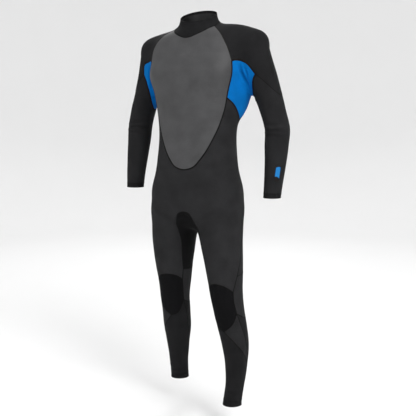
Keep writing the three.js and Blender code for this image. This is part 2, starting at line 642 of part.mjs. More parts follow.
// ---------------------------------------------------------------- sleeves
const elbowTop = 1172;
const elbowBottom = 1060;
const cuffTop = { 1: 885, '-1': 897 };
const ringSteps = 20;
for (const [side, hand] of sides) {
  const s = seams[side];
  const start = 172; // the ring starts at the back of the arm, as the sleeve's upper edge does
  const armRing = (height) => {
    const turns = Array.from({ length: ringSteps }, (_, k) => start - 360 * k / ringSteps);
    const ring = turns.map((turn) => onArm(side, turn, height));
    return [...ring, ring[0]];
  };
  const [top, bottom, wrist] = [armRing(elbowTop), armRing(elbowBottom), armRing(cuffTop[side])];
  const cuffRing = wrist.map((point) => settle(add(point, [0, 0, -cuffBand])));
  cuffRing[ringSteps] = cuffRing[0];
  piece(`upper_sleeve_${hand}`, shell([band(s.sleeveTop, top, 3)], limbNeoprene), jersey);
  piece(`elbow_sleeve_${hand}`, shell([band(top, bottom, 4)], limbNeoprene), jersey);
  piece(`forearm_sleeve_${hand}`, shell([band(bottom, wrist, 5)], limbNeoprene), jersey);
  piece(`cuff_${hand}`, shell([band(wrist, cuffRing, 1)], cuffBandThickness, hemProud), darkJersey);
}

// A small rectangle of skin points: `place` gives each from its shares, 0 to 1, across and up.
const swatch = (columns, rows, place) => Array.from({ length: rows + 1 }, (_, j) =>
  Array.from({ length: columns + 1 }, (__, i) => place(i / columns, j / rows)));

const badgeHeight = 930; // its lower end, on the outer front of the left forearm
const badgeTurn = 38; // degrees round the arm to its middle
const badgeSpread = badgeWidth / 36 / Math.PI * 180;
piece('forearm_badge_left', shell([swatch(4, 6, (u, v) =>
  onArm(1, badgeTurn + (u - 0.5) * badgeSpread, badgeHeight + v * badgeLength / torsoGrade / sleeveGrade))],
badgeThickness, touchGap + badgeThickness, 0), badgeBlue);

// ---------------------------------------------------------------- collar and neck seal
const neckRing = joined(turned(seams[1].neckZip), turned(seams[1].neckBack), turned(seams[1].neckSide),
  turned(neckFrontSeam), seams[-1].neckSide, seams[-1].neckBack, seams[-1].neckZip);
const collarRows = 4;
const collarSplit = 0.6; // half the slit at the back, under the tab
const rimOver = (share) => gradedHeight(collarRimFront + (collarRimBack - collarRimFront) * share);
const rimRing = neckRing.map((point) => {
  const [x, y] = [point[0], point[1] - neckCentre.y * depthGrade];
  const back = (1 + y / Math.hypot(x, y)) / 2;
  return emerge([0, neckCentre.y * depthGrade, rimOver(back)], [x, y, 0]);
});
const collarGrid = [neckRing];
for (let row = 1; row <= collarRows; row += 1) {
  collarGrid.push(row < collarRows
    ? neckRing.map((point, i) => settle(mix(point, rimRing[i], row / collarRows)))
    : rimRing);
}
const openGrid = collarGrid.map((row) => row.map((point, i) => {
  const end = i === 0 ? 1 : -1;
  return i === 0 || i === row.length - 1 ? settle(add(point, [end * collarSplit, 0, 0])) : point;
}));
piece('collar', shell([openGrid], collarNeoprene), darkJersey);

const sealTo = 1 - sealBelowRim / (gradedHeight(collarRimBack) - neckMiddle[2]); // share of the collar
const sealTop = neckRing.map((point, i) => settle(mix(point, rimRing[i], sealTo)));
const sealGrid = [...collarGrid.slice(1, 4), sealTop].map((row) => [...row.slice(0, -1), row[0]]);
piece('neck_seal', shell([sealGrid], sealNeoprene, -collarNeoprene - 2 * touchGap), smoothSkin);

// The closure tab is sewn on at the left of the slit, and holds to a loop patch on the right.
const collarRadius = 68;
const degreesFor = (length) => length / collarRadius * 180 / Math.PI;
const onCollar = (degrees, height) => emerge(
  [0, neckCentre.y * depthGrade, gradedHeight(height)],
  [Math.sin(radians(degrees)), -Math.cos(radians(degrees)), 0],
);
const tabRoot = 155; // degrees round from the front
const tabMiddle = 1530;
const patchStart = 190;
const tabTop = tabMiddle + collarTabHeight / 2 / torsoGrade;
const tabFoot = tabMiddle - collarTabHeight / 2 / torsoGrade;
const onTab = (u, v, start, length) =>
  onCollar(start + degreesFor(length) * u, tabFoot + (tabTop - tabFoot) * v);
const patchLift = 2 * touchGap + loopPatchThickness;
const patchGrid = swatch(4, 2, (u, v) => onTab(u, v, patchStart, loopPatchLength));
piece('collar_loop_patch', shell([patchGrid], loopPatchThickness, patchLift, 0), tapeBlack);
const tabLift = (u) => touchGap + collarTabThickness + patchLift * THREE.MathUtils.smoothstep(u, 0, 0.35);
piece('collar_tab', shell([swatch(9, 2, (u, v) => onTab(u, v, tabRoot, collarTabLength))],
  collarTabThickness, tabLift, 0), darkJersey);

// ---------------------------------------------------------------- zip
// The zip runs on one straight line inside the back panels' edges, so the slider's path is straight.
const zipTopHeight = 1452;
const zipFoot = gradedHeight(waistHeight) + 4;
const zipHead = gradedHeight(zipTopHeight);
const zipLength = zipHead - zipFoot;
const zipTapeOuter = zipSlot / 2 + zipTapeWidth;
const skinBehind = (x, share) => emerge([x, 10 * depthGrade, zipFoot + zipLength * share], [0, 1, 0])[1];
const zipShares = Array.from({ length: 13 }, (_, k) => k / 12);
const zipStartY = skinBehind(zipTapeOuter, 0);
const zipLean = (zipStartY - skinBehind(zipTapeOuter, 1)) / zipLength;
const zipLineY = (share) => zipStartY - zipLean * zipLength * share;
const zipDips = zipShares.flatMap((share) =>
  [-zipTapeOuter, 0, zipTapeOuter].map((x) => zipLineY(share) - skinBehind(x, share)));
const zipDepth = bodyNeoprene + 2 * touchGap + Math.max(...zipDips);
const zip = new THREE.Group();
zip.position.set(0, zipStartY - zipDepth, zipFoot);
zip.rotation.x = Math.atan(zipLean);
suit.add(zip);

// A box by its low and high corners.
function block(low, high) {
  const geometry = new THREE.BoxGeometry(...minus(high, low));
  geometry.translate(...mix(low, high, 0.5));
  return geometry;
}

function zipPiece(name, geometry, material) {
  zip.add(piece(name, geometry, material));
}

const teethFoot = 9;
const teethHead = zipLength - 5;
const teethTop = touchGap + zipTeethHeight;
const stopTop = teethTop + 0.6;
for (const [side, hand] of sides) {
  const mirrored = (x0, x1) => [Math.min(side * x0, side * x1), Math.max(side * x0, side * x1)];
  const [tapeLow, tapeHigh] = mirrored(zipSlot / 2, zipTapeOuter);
  const [teethLow, teethHigh] = mirrored(zipSlot / 2, zipSlot / 2 + zipTeethWidth);
  zipPiece(`zip_tape_${hand}`, block([tapeLow, -zipTapeThickness, 0], [tapeHigh, 0, zipLength]), tapeBlack);
  const teeth = block([teethLow, touchGap, teethFoot], [teethHigh, teethTop, teethHead]);
  const topStop = block([teethLow, touchGap, teethHead + touchGap], [teethHigh, stopTop, teethHead + 4]);
  zipPiece(`zip_teeth_${hand}`, teeth, zipPlastic);
  zipPiece(`zip_top_stop_${hand}`, topStop, zipMetal);
}
zipPiece('zip_bottom_stop', block([-4, touchGap, 2.5], [4, stopTop, teethFoot - touchGap]), zipMetal);

const wasm = await Module();
wasm.setup();

function solid(geometry) {
  const bare = geometry.clone();
  bare.deleteAttribute('normal');
  bare.deleteAttribute('uv');
  const merged = mergeVertices(bare, 1e-4);
  return new wasm.Manifold(new wasm.Mesh({
    numProp: 3,
    vertProperties: new Float32Array(merged.attributes.position.array),
    triVerts: new Uint32Array(merged.index.array),
  }));
}

function geometryOf(manifold) {
  const mesh = manifold.getMesh();
  const geometry = new THREE.BufferGeometry();
  geometry.setAttribute('position', new THREE.Float32BufferAttribute(mesh.vertProperties, 3));
  geometry.setIndex(Array.from(mesh.triVerts));
  geometry.computeVertexNormals();
  return geometry;
}

// The slider is two plates joined by a web that runs in the slot, with a lug for the pull on top.
const sliderTop = teethHead - touchGap; // its upper end when the zip is closed
const sliderFoot = sliderTop - zipSliderLength;
const upperPlate = teethTop + touchGap;
const lowerPlate = -zipTapeThickness - touchGap;
const lugBase = upperPlate + zipSliderPlate;
const lugAxis = lugBase + zipLugEye + 0.6;
const lugMiddle = (sliderTop + sliderFoot) / 2;
const lugOutline = new THREE.Shape();
const lugOuter = zipLugEye + zipLugWall;
lugOutline.moveTo(-lugOuter, -lugAxis + lugBase - 0.5);
lugOutline.lineTo(lugOuter, -lugAxis + lugBase - 0.5);
lugOutline.lineTo(lugOuter, 0);
lugOutline.absarc(0, 0, lugOuter, 0, Math.PI, false);
lugOutline.holes.push(new THREE.Path().absarc(0, 0, zipLugEye, 0, Math.PI * 2, true));
const flatPlate = (outline, depth) =>
  new THREE.ExtrudeGeometry(outline, { depth, bevelEnabled: false, curveSegments: 8 });
const lug = flatPlate(lugOutline, zipLugThickness);
lug.translate(0, 0, -zipLugThickness / 2);
lug.rotateY(Math.PI / 2);
lug.translate(0, lugAxis, lugMiddle);
const half = zipSliderWidth / 2;
const halfWeb = zipSliderWeb / 2;
const slider = solid(block([-half, upperPlate, sliderFoot], [half, lugBase, sliderTop]))
  .add(solid(block([1 - half, lowerPlate - zipSliderPlate, sliderFoot], [half - 1, lowerPlate, sliderTop])))
  .add(solid(block([-halfWeb, lowerPlate - 0.5, sliderTop - 8], [halfWeb, upperPlate + 0.5, sliderTop])))
  .add(solid(lug));
zipPiece('zip_slider', geometryOf(slider), zipMetal);

// The pull hangs from a bar through the lug's eye; its window lets the lug pass at every angle.
const pullOutline = new THREE.Shape();
const pullHalf = zipPullWidth / 2;
const pullFoot = zipPullBar / 2 - zipPullLength;
pullOutline.moveTo(-pullHalf, zipPullBar / 2);
pullOutline.lineTo(-pullHalf, pullFoot + pullHalf);
pullOutline.absarc(0, pullFoot + pullHalf, pullHalf, Math.PI, Math.PI * 2, false);
pullOutline.lineTo(pullHalf, zipPullBar / 2);
const windowHalf = zipLugThickness / 2 + 0.6;
const pullWindow = new THREE.Path();
pullWindow.moveTo(-windowHalf, -zipPullBar / 2);
pullWindow.lineTo(windowHalf, -zipPullBar / 2);
pullWindow.lineTo(windowHalf, -lugOuter - 0.8);
pullWindow.lineTo(-windowHalf, -lugOuter - 0.8);
const cordEye = new THREE.Path().absarc(0, pullFoot + pullHalf + 0.5, 2.2, 0, Math.PI * 2, true);
pullOutline.holes.push(pullWindow, cordEye);
const pull = flatPlate(pullOutline, zipPullThickness);
pull.translate(0, 0, -zipPullThickness / 2);
pull.rotateX(Math.PI / 2);
pull.translate(0, lugAxis, lugMiddle);
zipPiece('zip_pull_tab', geometryOf(solid(pull)), zipMetal);

// A flap seals the zip from inside.  It is sewn to the left back panel and lies free of the right one.
const flapHalf = zipFlapWidth / 2;
const flapDeep = zipDepth + zipTapeThickness + zipSliderPlate + 2 * touchGap + 0.3 - Math.min(...zipDips);
const flapSewn = bodyNeoprene + 2 * touchGap;
const flapRows = 10;
const flapPlace = (u, v) =>
  emerge([flapHalf * (1 - 2 * u), 10 * depthGrade, zipFoot + zipLength * v], [0, 1, 0]);
piece('zip_flap', shell([swatch(8, flapRows, flapPlace)], zipFlapThickness,
  (u) => -flapSewn - (flapDeep - flapSewn) * THREE.MathUtils.smoothstep(u, 0, 0.22), 0), darkJersey);

// Above the zip a small panel fills the opening up to the collar.
const garageFoot = zipHead + 3;
const garageHead = Math.min(neckAtZip[1][2], neckMiddle[2]) - 2;
const garageHalf = zipHalf - seamGap;
piece('zip_garage', shell([swatch(2, 3, (u, v) => emerge(
  [garageHalf * (1 - 2 * u), 10 * depthGrade, garageFoot + (garageHead - garageFoot) * v], [0, 1, 0],
))], bodyNeoprene, 0, 0), darkJersey);

export default suit;
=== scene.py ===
"""Full-length back-zip wetsuit, as it looks when worn: jersey and smooth-skin panels, stitched seams and a moulded zip.

Lengths here are millimetres above the wearer's soles, as a pattern cutter would write them; `placed` turns them into
metres in the shared frame.  Every panel is a two-parameter grid stretched between seam curves that lie on the wearer.
"""
import math

import bpy
import numpy as np
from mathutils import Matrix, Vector


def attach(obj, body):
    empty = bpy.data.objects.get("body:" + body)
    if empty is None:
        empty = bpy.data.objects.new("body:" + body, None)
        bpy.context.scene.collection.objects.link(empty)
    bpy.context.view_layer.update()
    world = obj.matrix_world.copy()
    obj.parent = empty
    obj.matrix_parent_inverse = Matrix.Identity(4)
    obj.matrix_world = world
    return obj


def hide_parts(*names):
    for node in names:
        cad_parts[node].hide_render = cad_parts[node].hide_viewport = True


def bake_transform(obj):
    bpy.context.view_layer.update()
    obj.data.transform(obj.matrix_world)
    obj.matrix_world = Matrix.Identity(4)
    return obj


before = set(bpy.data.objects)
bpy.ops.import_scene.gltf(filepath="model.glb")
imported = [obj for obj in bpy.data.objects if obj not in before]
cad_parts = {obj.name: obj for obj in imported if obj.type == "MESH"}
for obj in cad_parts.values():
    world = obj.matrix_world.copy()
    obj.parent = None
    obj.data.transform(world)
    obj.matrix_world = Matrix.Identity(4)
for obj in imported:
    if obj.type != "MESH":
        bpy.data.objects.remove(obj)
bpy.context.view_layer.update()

NECK_CENTRE = np.array([0.0, 18.0, 1478.0])
FINE = 8  # grid steps for each seam step
SIDES = ((1, "left"), (-1, "right"))


def placed(points):
    """Metres from the centre of the neck opening: subtract its place, divide by a thousand."""
    return (np.asarray(points, float) - NECK_CENTRE) / 1000


# ---------------------------------------------------------------- the wearer, one smooth solid
LEFT_LEG = [
    (850, 84, 8, 86, 100), (760, 102, -6, 85, 94), (680, 122, -32, 78, 83), (600, 147, -64, 69, 74),
    (530, 167, -92, 61, 66), (465, 187, -112, 56, 62), (400, 198, -106, 54, 60), (330, 205, -92, 49, 58),
    (250, 206, -84, 41, 47), (170, 200, -82, 35, 38), (100, 192, -88, 34, 36),
]
RIGHT_LEG = [
    (850, -84, 8, 86, 100), (760, -93, 6, 89, 96), (680, -99, 6, 84, 86), (600, -101, 8, 74, 76),
    (530, -99, 10, 64, 67), (465, -100, 14, 56, 62), (400, -102, 28, 54, 60), (330, -106, 46, 52, 59),
    (250, -111, 62, 43, 47), (170, -115, 76, 36, 39), (100, -117, 88, 34, 37),
]
LEFT_ARM = [
    (1400, 210, 42, 60, 62), (1330, 233, 46, 60, 60), (1260, 259, 52, 54, 56), (1190, 283, 58, 49, 51),
    (1120, 302, 62, 47, 49), (1050, 304, 52, 44, 46), (980, 304, 40, 39, 41), (920, 302, 30, 35, 36),
    (870, 300, 22, 32, 33),
]
RIGHT_ARM_INSET = (20, 26, 27, 24, 25, 25, 23, 20, 19)
RIGHT_ARM = [(h, inset - x, *rest) for (h, x, *rest), inset in zip(LEFT_ARM, RIGHT_ARM_INSET)]
NECK = [(1400, 0, 14, 84, 84), (1460, 0, 18, 73, 73), (1500, 0, 20, 67, 69), (1560, 0, 20, 66, 69)]
TORSO = [(h, 0, (front + back) / 2, half, (back - front) / 2) for h, half, front, back in (
    (830, 170, -110, 131), (900, 168, -112, 128), (980, 157, -110, 124), (1060, 149, -104, 122),
    (1120, 148, -102, 120.4), (1190, 155, -104, 118.6), (1260, 163, -108, 116.8), (1330, 171, -106, 114.6),
    (1390, 176, -96, 110))]
MUSCLES = np.array([
    [[70, -48, 1322], [82, 60, 56]], [[-70, -48, 1322], [82, 60, 56]],
    [[122, 36, 1440], [98, 52, 53]], [[-112, 36, 1428], [90, 50, 49]],
    [[152, 56, 1285], [44, 50, 110]], [[-138, 56, 1296], [38, 50, 92]], [[0, 30, 1460], [70, 46, 60]],
], float)
BLEND = 14.0


def with_slopes(table):
    """Levels sorted upwards with their slopes: each inner slope is the mean of its neighbours', the nearer weighing more."""
    rows = np.array(sorted(table), float)
    heights, values = rows[:, 0], rows[:, 1:]
    step = np.diff(heights)[:, None]
    rise = np.diff(values, axis=0) / step
    slopes = np.concatenate([rise[:1], (rise[:-1] * step[1:] + rise[1:] * step[:-1]) / (step[:-1] + step[1:]), rise[-1:]])
    return heights, values, slopes


def level_at(levels, height):
    """Centre and half sizes at each height: the cubic that meets both levels' values and slopes."""
    heights, values, slopes = levels
    i = np.clip(np.searchsorted(heights, height) - 1, 0, len(heights) - 2)
    span = heights[i + 1] - heights[i]
    t = np.clip((height - heights[i]) / span, 0, 1)
    rise = (t * t * (3 - 2 * t))[..., None]
    lead, tail = (span * t * (1 - t) ** 2)[..., None], (span * t * t * (1 - t))[..., None]
    return values[i] * (1 - rise) + values[i + 1] * rise + slopes[i] * lead - slopes[i + 1] * tail


LEGS = {1: with_slopes(LEFT_LEG), -1: with_slopes(RIGHT_LEG)}
ARMS = {1: with_slopes(LEFT_ARM), -1: with_slopes(RIGHT_ARM)}
TUBES = (  # levels, roundness of the section, length of the top cap, length of the bottom cap
    (with_slopes(TORSO), 2.35, 98, 90), (with_slopes(NECK), 2, 0, 60), (ARMS[1], 2, 64, 0), (ARMS[-1], 2, 64, 0),
    (LEGS[1], 2, 80, 0), (LEGS[-1], 2, 80, 0),
)


def wearer(p):
    """Below zero inside: each tube's and muscle's distance, melted into the least of them by a log of summed exponentials."""
    x, y, z = np.moveaxis(np.asarray(p, float), -1, 0)
    s = np.clip((z - 1100) / 250, 0, 1)
    height = z - 0.05 * x * s * s * (3 - 2 * s)
    distances = []
    for levels, roundness, top_cap, bottom_cap in TUBES:
        cx, cy, half_width, half_depth = np.moveaxis(level_at(levels, height), -1, 0)
        r = (np.abs((x - cx) / half_width) ** roundness + np.abs((y - cy) / half_depth) ** roundness) ** (1 / roundness)
        for past, cap in ((height - levels[0][-1], top_cap), (levels[0][0] - height, bottom_cap)):
            if cap:
                r = (r ** 2.6 + (np.maximum(past, 0) / cap) ** 2.6) ** (1 / 2.6)
        distances.append((r - 1) * np.minimum(half_width, half_depth))
    for centre, radii in MUSCLES:
        q = np.sqrt(((x - centre[0]) / radii[0]) ** 2 + ((y - centre[1]) / radii[1]) ** 2
                    + ((height - centre[2]) / radii[2]) ** 2)
        distances.append((q - 1) * radii.min())
    distances = np.array(distances)
    nearest = distances.min(0)
    return nearest - BLEND * np.log(np.exp((nearest - distances) / BLEND).sum(0))


PROBES = np.array([[1, -1, -1], [-1, -1, 1], [-1, 1, -1], [1, 1, 1]], float)


def value_and_slope(p):
    """The wearer's value and gradient from four probes at the corners of a small tetrahedron."""
    at = wearer(p[..., None, :] + 0.25 * PROBES)
    return at.mean(-1), (at[..., None] * PROBES).sum(-2) / (4 * 0.25)


def unit(v):
    return v / np.maximum(np.linalg.norm(v, axis=-1, keepdims=True), 1e-12)


def outward(p):
    """The skin's outward direction: the unit gradient."""
    return unit(value_and_slope(np.asarray(p, float))[1])


def settle(p):
    """Points near the skin moved onto it by Newton steps of at most 20 mm, until all lie within a thousandth."""
    p = np.array(p, float)
    flat = p.reshape(-1, 3)
    todo = np.arange(len(flat))
    for _ in range(16):
        f, g = value_and_slope(flat[todo])
        far = np.abs(f) > 1e-3
        todo, f, g = todo[far], f[far], g[far]
        if not len(todo):
            break
        reach = np.clip(f / np.maximum((g * g).sum(-1), 0.15), -20, 20)
        flat[todo] -= g * reach[:, None]
    return flat.reshape(p.shape)


def emerge(start, direction):
    """Where rays from inside first come out: the first outside mark 4 mm apart, then three rounds of 32 finer marks."""
    start, heading = np.broadcast_arrays(np.asarray(start, float), unit(np.asarray(direction, float)))
    low = np.zeros(start.shape[:-1])
    pace, marks = 4.0, np.arange(101)
    for _ in range(4):
        t = low[..., None] + pace * marks
        out = wearer(start[..., None, :] + heading[..., None, :] * t[..., None]) >= 0
        first = np.maximum(out.argmax(-1), 1)
        low = low + pace * (first - 1)
        pace, marks = pace / 32, np.arange(34)
    return start + heading * low[..., None]


def on_torso(degrees, height):
    a = math.radians(degrees)
    return emerge([0, 10, height], [math.sin(a), -math.cos(a), 0])


def on_limb(levels, side, degrees, height):
    """A point on a limb, degrees round from the front towards the outside; both numbers may be arrays."""
    a, height = np.broadcast_arrays(np.radians(np.asarray(degrees, float)), np.asarray(height, float))
    cx, cy = np.moveaxis(level_at(levels, height), -1, 0)[:2]
    way = np.stack([side * np.sin(a), -np.cos(a), np.zeros_like(a)], -1)
    return emerge(np.stack([cx, cy, height], -1), way)


def near(x, y, height):
    return settle([x, y, height])


def seam(steps, *knots):
    """A curve on the skin: the centripetal Catmull-Rom spline through the knots, cut into equal lengths and settled."""
    k = np.array(knots, float)
    k = np.concatenate([[2 * k[0] - k[1]], k, [2 * k[-1] - k[-2]]])
    gap = np.maximum(np.linalg.norm(np.diff(k, axis=0), axis=1) ** 0.5, 1e-4)[:, None]
    p0, p1, p2, p3 = k[:-3], k[1:-2], k[2:-1], k[3:]
    d0, d1, d2 = gap[:-2], gap[1:-1], gap[2:]
    start = ((p1 - p0) / d0 - (p2 - p0) / (d0 + d1) + (p2 - p1) / d1) * d1
    finish = ((p2 - p1) / d1 - (p3 - p1) / (d1 + d2) + (p3 - p2) / d2) * d1
    t = np.linspace(0, 1, 25)[:-1][None, :, None]
    a, b = (x[:, None, :] for x in (2 * p1 - 2 * p2 + start + finish, -3 * p1 + 3 * p2 - 2 * start - finish))
    path = np.concatenate([(a * t ** 3 + b * t * t + start[:, None] * t + p1[:, None]).reshape(-1, 3), p2[-1:]])
    run = np.concatenate([[0], np.cumsum(np.linalg.norm(np.diff(path, axis=0), axis=1))])
    at = np.linspace(0, run[-1], steps * FINE + 1)
    curve = settle(np.stack([np.interp(at, run, path[:, axis]) for axis in range(3)], -1))
    curve[0], curve[-1] = knots[0], knots[-1]
    return curve


def joined(*curves):
    return np.concatenate([curves[0], *[c[1:] for c in curves[1:]]])


def turned(curve):
    return curve[::-1]


def steps_of(curve, first, last=None):
    """The stretch of a seam between two of its steps."""
    return curve[first * FINE:] if last is None else curve[first * FINE:last * FINE + 1]


def step_point(curve, step):
    return curve[step * FINE]


# ---------------------------------------------------------------- the seams, the same network as the pattern's
def neck_at(degrees):
    """The collar seam at one direction: an oval dropped onto the shoulders."""
    a = math.radians(degrees)
    return emerge([84 * math.sin(a), 3.5 - 88.5 * math.cos(a), 1395], [0, 0, 1])


def neck_knots(start, end):
    return [neck_at(start + (end - start) * k / 4) for k in range(5)]


ZIP_TURN = math.degrees(math.asin(9 / 84))
neck_front = seam(6, *neck_knots(-76, 76))
neck_middle = neck_at(180)
S = {}
FOLD_FROM_MIDDLE = {1: 193, -1: 186}
ARMPIT_DROP = {1: 0, -1: 22}
WAIST, ANKLE, ANKLE_BAND = 985, {1: 92, -1: 106}, 20
CUFF_TOP, CUFF_BAND = {1: 885, -1: 897}, 18


def cut_upper(side):
    """Neck, raglan, armhole, underarm, sleeve-top, chest and side seams of one side."""
    at = lambda x, y, height: near(side * x, y, height)
    torso = lambda degrees, height: on_torso(side * degrees, height)
    arm = lambda degrees, height: on_limb(ARMS[side], side, degrees, height)
    drop = ARMPIT_DROP[side]
    front = neck_front[-1] if side > 0 else neck_front[0]
    back, at_zip = neck_at(side * 120), neck_at(side * (180 - ZIP_TURN))
    s = dict(at_zip=at_zip)
    s["neck_side"] = seam(6, front, neck_at(side * 91), neck_at(side * 105), back)
    s["neck_back"] = seam(6, back, neck_at(side * 138), neck_at(side * 156), at_zip)
    s["neck_zip"] = seam(2, at_zip, neck_middle)
    chest, blade = at(165, -50, 1367), at(160, 112, 1362)
    arm_front, arm_back = arm(7, 1320), arm(172, 1322)
    fold_front, fold_back = at(FOLD_FROM_MIDDLE[side] - 3, -28, 1369), at(FOLD_FROM_MIDDLE[side] - 3, 108, 1366)
    rib_front, rib_back, flank = torso(68, 1234), torso(128, 1232), torso(101, 1152)
    s["raglan_front"] = seam(5, front, at(108, -37, 1464), at(137, -53, 1436), at(157, -55, 1403), chest)
    s["raglan_back"] = seam(5, back, at(100, 95, 1455), at(132, 112, 1425), at(152, 115, 1394), blade)
    s["armhole_front"] = joined(seam(2, chest, at(176, -40, 1371), fold_front), seam(2, fold_front, at(212, -20, 1357), arm_front))
    s["armhole_back"] = joined(seam(2, blade, at(175, 112, 1368), fold_back), seam(2, fold_back, at(212, 104, 1356), arm_back))
    s["underarm_front"] = joined(seam(4, chest, torso(69, 1300), rib_front), seam(3, rib_front, torso(83, 1206), flank))
    s["underarm_back"] = joined(seam(4, blade, torso(126, 1300), rib_back), seam(3, rib_back, torso(117, 1200), flank))
    armpit = [emerge([side * FOLD_FROM_MIDDLE[side], 42, 1366], [0, -math.cos(a), -math.sin(a)])
              for a in np.radians([30, 60, 90, 120, 150])]
    s["fold"] = seam(14, fold_front, *armpit, fold_back)
    s["sleeve_in"] = seam(14, arm_front, arm(-12, 1300 - drop / 2), arm(-34, 1268 - drop), arm(-60, 1238 - drop * 1.5),
                          arm(-90, 1216 - drop * 1.5), arm(-120, 1236 - drop * 1.5), arm(-148, 1268 - drop),
                          arm(-172, 1300), arm_back)
    s["sleeve_out"] = seam(6, arm_front, arm(30, 1292), arm(60, 1258), arm(90, 1243), arm(120, 1258), arm(150, 1292), arm_back)
    bone = lambda x, height, out, up: emerge([side * x, 38, height], [side * out, 0, up])
    s["ridge"] = seam(9, step_point(s["neck_side"], 3), bone(110, 1400, 0, 1), bone(150, 1400, 0, 1), bone(180, 1380, 0.3, 1),
                      bone(195, 1365, 0.8, 1), bone(205, 1345, 1, 0.5), bone(215, 1300, 1, 0.1), step_point(s["sleeve_out"], 3))
    s["sleeve_top"] = joined(turned(s["sleeve_out"]), s["sleeve_in"])
    s["chest_side"] = seam(5, step_point(s["underarm_front"], 4), torso(66, 1190), torso(59, 1130), torso(50, 1084),
                           torso(40, 1042), torso(31, 1012))
    waist, hip = torso(103, WAIST), on_limb(LEGS[side], side, 98, 795)
    s["side_upper"] = seam(3, flank, torso(104, 1070), waist)
    s["side_lower"] = seam(5, waist, torso(102, 900), hip)
    spine = [emerge([side * 9, 10, height], [0, 1, 0]) for height in np.linspace(1478, WAIST, 15)]
    s["zip_edge"] = seam(15, at_zip, *spine)
    s["waist_back"] = seam(6, waist, torso(130, WAIST), torso(155, WAIST), s["zip_edge"][-1])
    return s


def cut_leg(side, s):
    """Crotch, thigh, knee, calf and ankle seams of one side."""
    leg = lambda degrees, height: on_limb(LEGS[side], side, degrees, height)
    groin, rear, hip = near(side * 42, -80, 770), near(side * 44, 96, 772), s["side_lower"][-1]
    pad_out, pad_in, low_out, low_in, tip = leg(48, 532), leg(-54, 536), leg(52, 458), leg(-62, 452), leg(-8, 390)
    knee_out, inner_front, inner_back = leg(66, 584), leg(-56, 578), leg(-124, 578)
    hem = ANKLE[side] + ANKLE_BAND
    calf_tip, hem_out, hem_in = leg(96, 256), leg(92, hem), leg(-86, hem)
    s["hip_front"] = seam(8, groin, leg(-8, 782), leg(45, 792), hip)
    s["hip_back"] = seam(5, rear, leg(188, 782), leg(140, 792), hip)
    s["thigh_out"] = joined(seam(6, hip, leg(94, 700), leg(84, 640), knee_out), seam(2, knee_out, leg(56, 556), pad_out))
    s["thigh_in"] = joined(seam(6, groin, leg(-44, 700), leg(-50, 640), inner_front), seam(2, inner_front, pad_in))
    s["thigh_back_in"] = seam(6, rear, leg(-132, 700), leg(-128, 640), inner_back)
    s["crotch_arc"] = seam(5, groin, leg(-66, 722), leg(-90, 712), leg(-114, 722), rear)
    s["inner_end"] = seam(5, inner_front, leg(-90, 576), inner_back)
    s["knee_back_top"] = seam(5, knee_out, leg(110, 590), leg(180, 590), leg(214, 584), inner_back)
    s["pad_top"] = seam(8, pad_out, leg(20, 552), leg(-8, 558), leg(-34, 551), pad_in)
    s["pad_out"] = seam(3, pad_out, leg(47, 498), low_out)
    s["pad_in"] = seam(3, pad_in, leg(-58, 496), low_in)
    s["pad_low_out"] = seam(3, low_out, leg(32, 424), tip)
    s["pad_low_in"] = seam(5, tip, leg(-34, 402), low_in)
    s["knee_back_low"] = seam(10, low_out, leg(90, 438), leg(135, 430), leg(180, 428), leg(225, 430), leg(270, 438), low_in)
    s["calf_edge"] = seam(5, low_out, leg(66, 400), leg(82, 330), calf_tip)
    s["shin_edge"] = seam(5, tip, leg(22, 350), leg(62, 300), calf_tip)
    s["calf_side"] = seam(4, calf_tip, leg(96, 190), hem_out)
    s["shin_in"] = seam(9, low_in, leg(-78, 380), leg(-86, 260), hem_in)
    s["ankle_front"] = seam(5, hem_out, leg(45, hem), leg(0, hem), leg(-45, hem), hem_in)
    s["ankle_back"] = seam(10, hem_out, leg(135, hem), leg(180, hem), leg(225, hem), hem_in)


for side, _ in SIDES:
    S[side] = cut_upper(side)
    cut_leg(side, S[side])
L, R = S[1], S[-1]
chest_bottom = seam(6, R["chest_side"][-1], on_torso(-18, 981), on_torso(0, 970), on_torso(18, 981), L["chest_side"][-1])
crotch_front = seam(6, R["thigh_in"][0], near(-24, -100, 806), near(0, -106, 813), near(24, -100, 806), L["thigh_in"][0])
crotch_back = seam(6, R["thigh_back_in"][0], near(-24, 118, 802), near(0, 124, 809), near(24, 118, 802), L["thigh_back_in"][0])
waist_middle = seam(4, L["zip_edge"][-1], emerge([0, 10, WAIST], [0, 1, 0]), R["zip_edge"][-1])
neck_ring = joined(turned(L["neck_zip"]), turned(L["neck_back"]), turned(L["neck_side"]), turned(neck_front),
                   R["neck_side"], R["neck_back"], R["neck_zip"])


# ---------------------------------------------------------------- folds where the cloth bunches
def arm_fold(side, height, start, end, dip=0):
    return on_limb(ARMS[side], side, np.linspace(start, end, 7), height - dip * np.sin(np.linspace(0, np.pi, 7)))


def leg_fold(side, height, start, end, dip=0):
    return on_limb(LEGS[side], side, np.linspace(start, end, 7), height - dip * np.sin(np.linspace(0, np.pi, 7)))


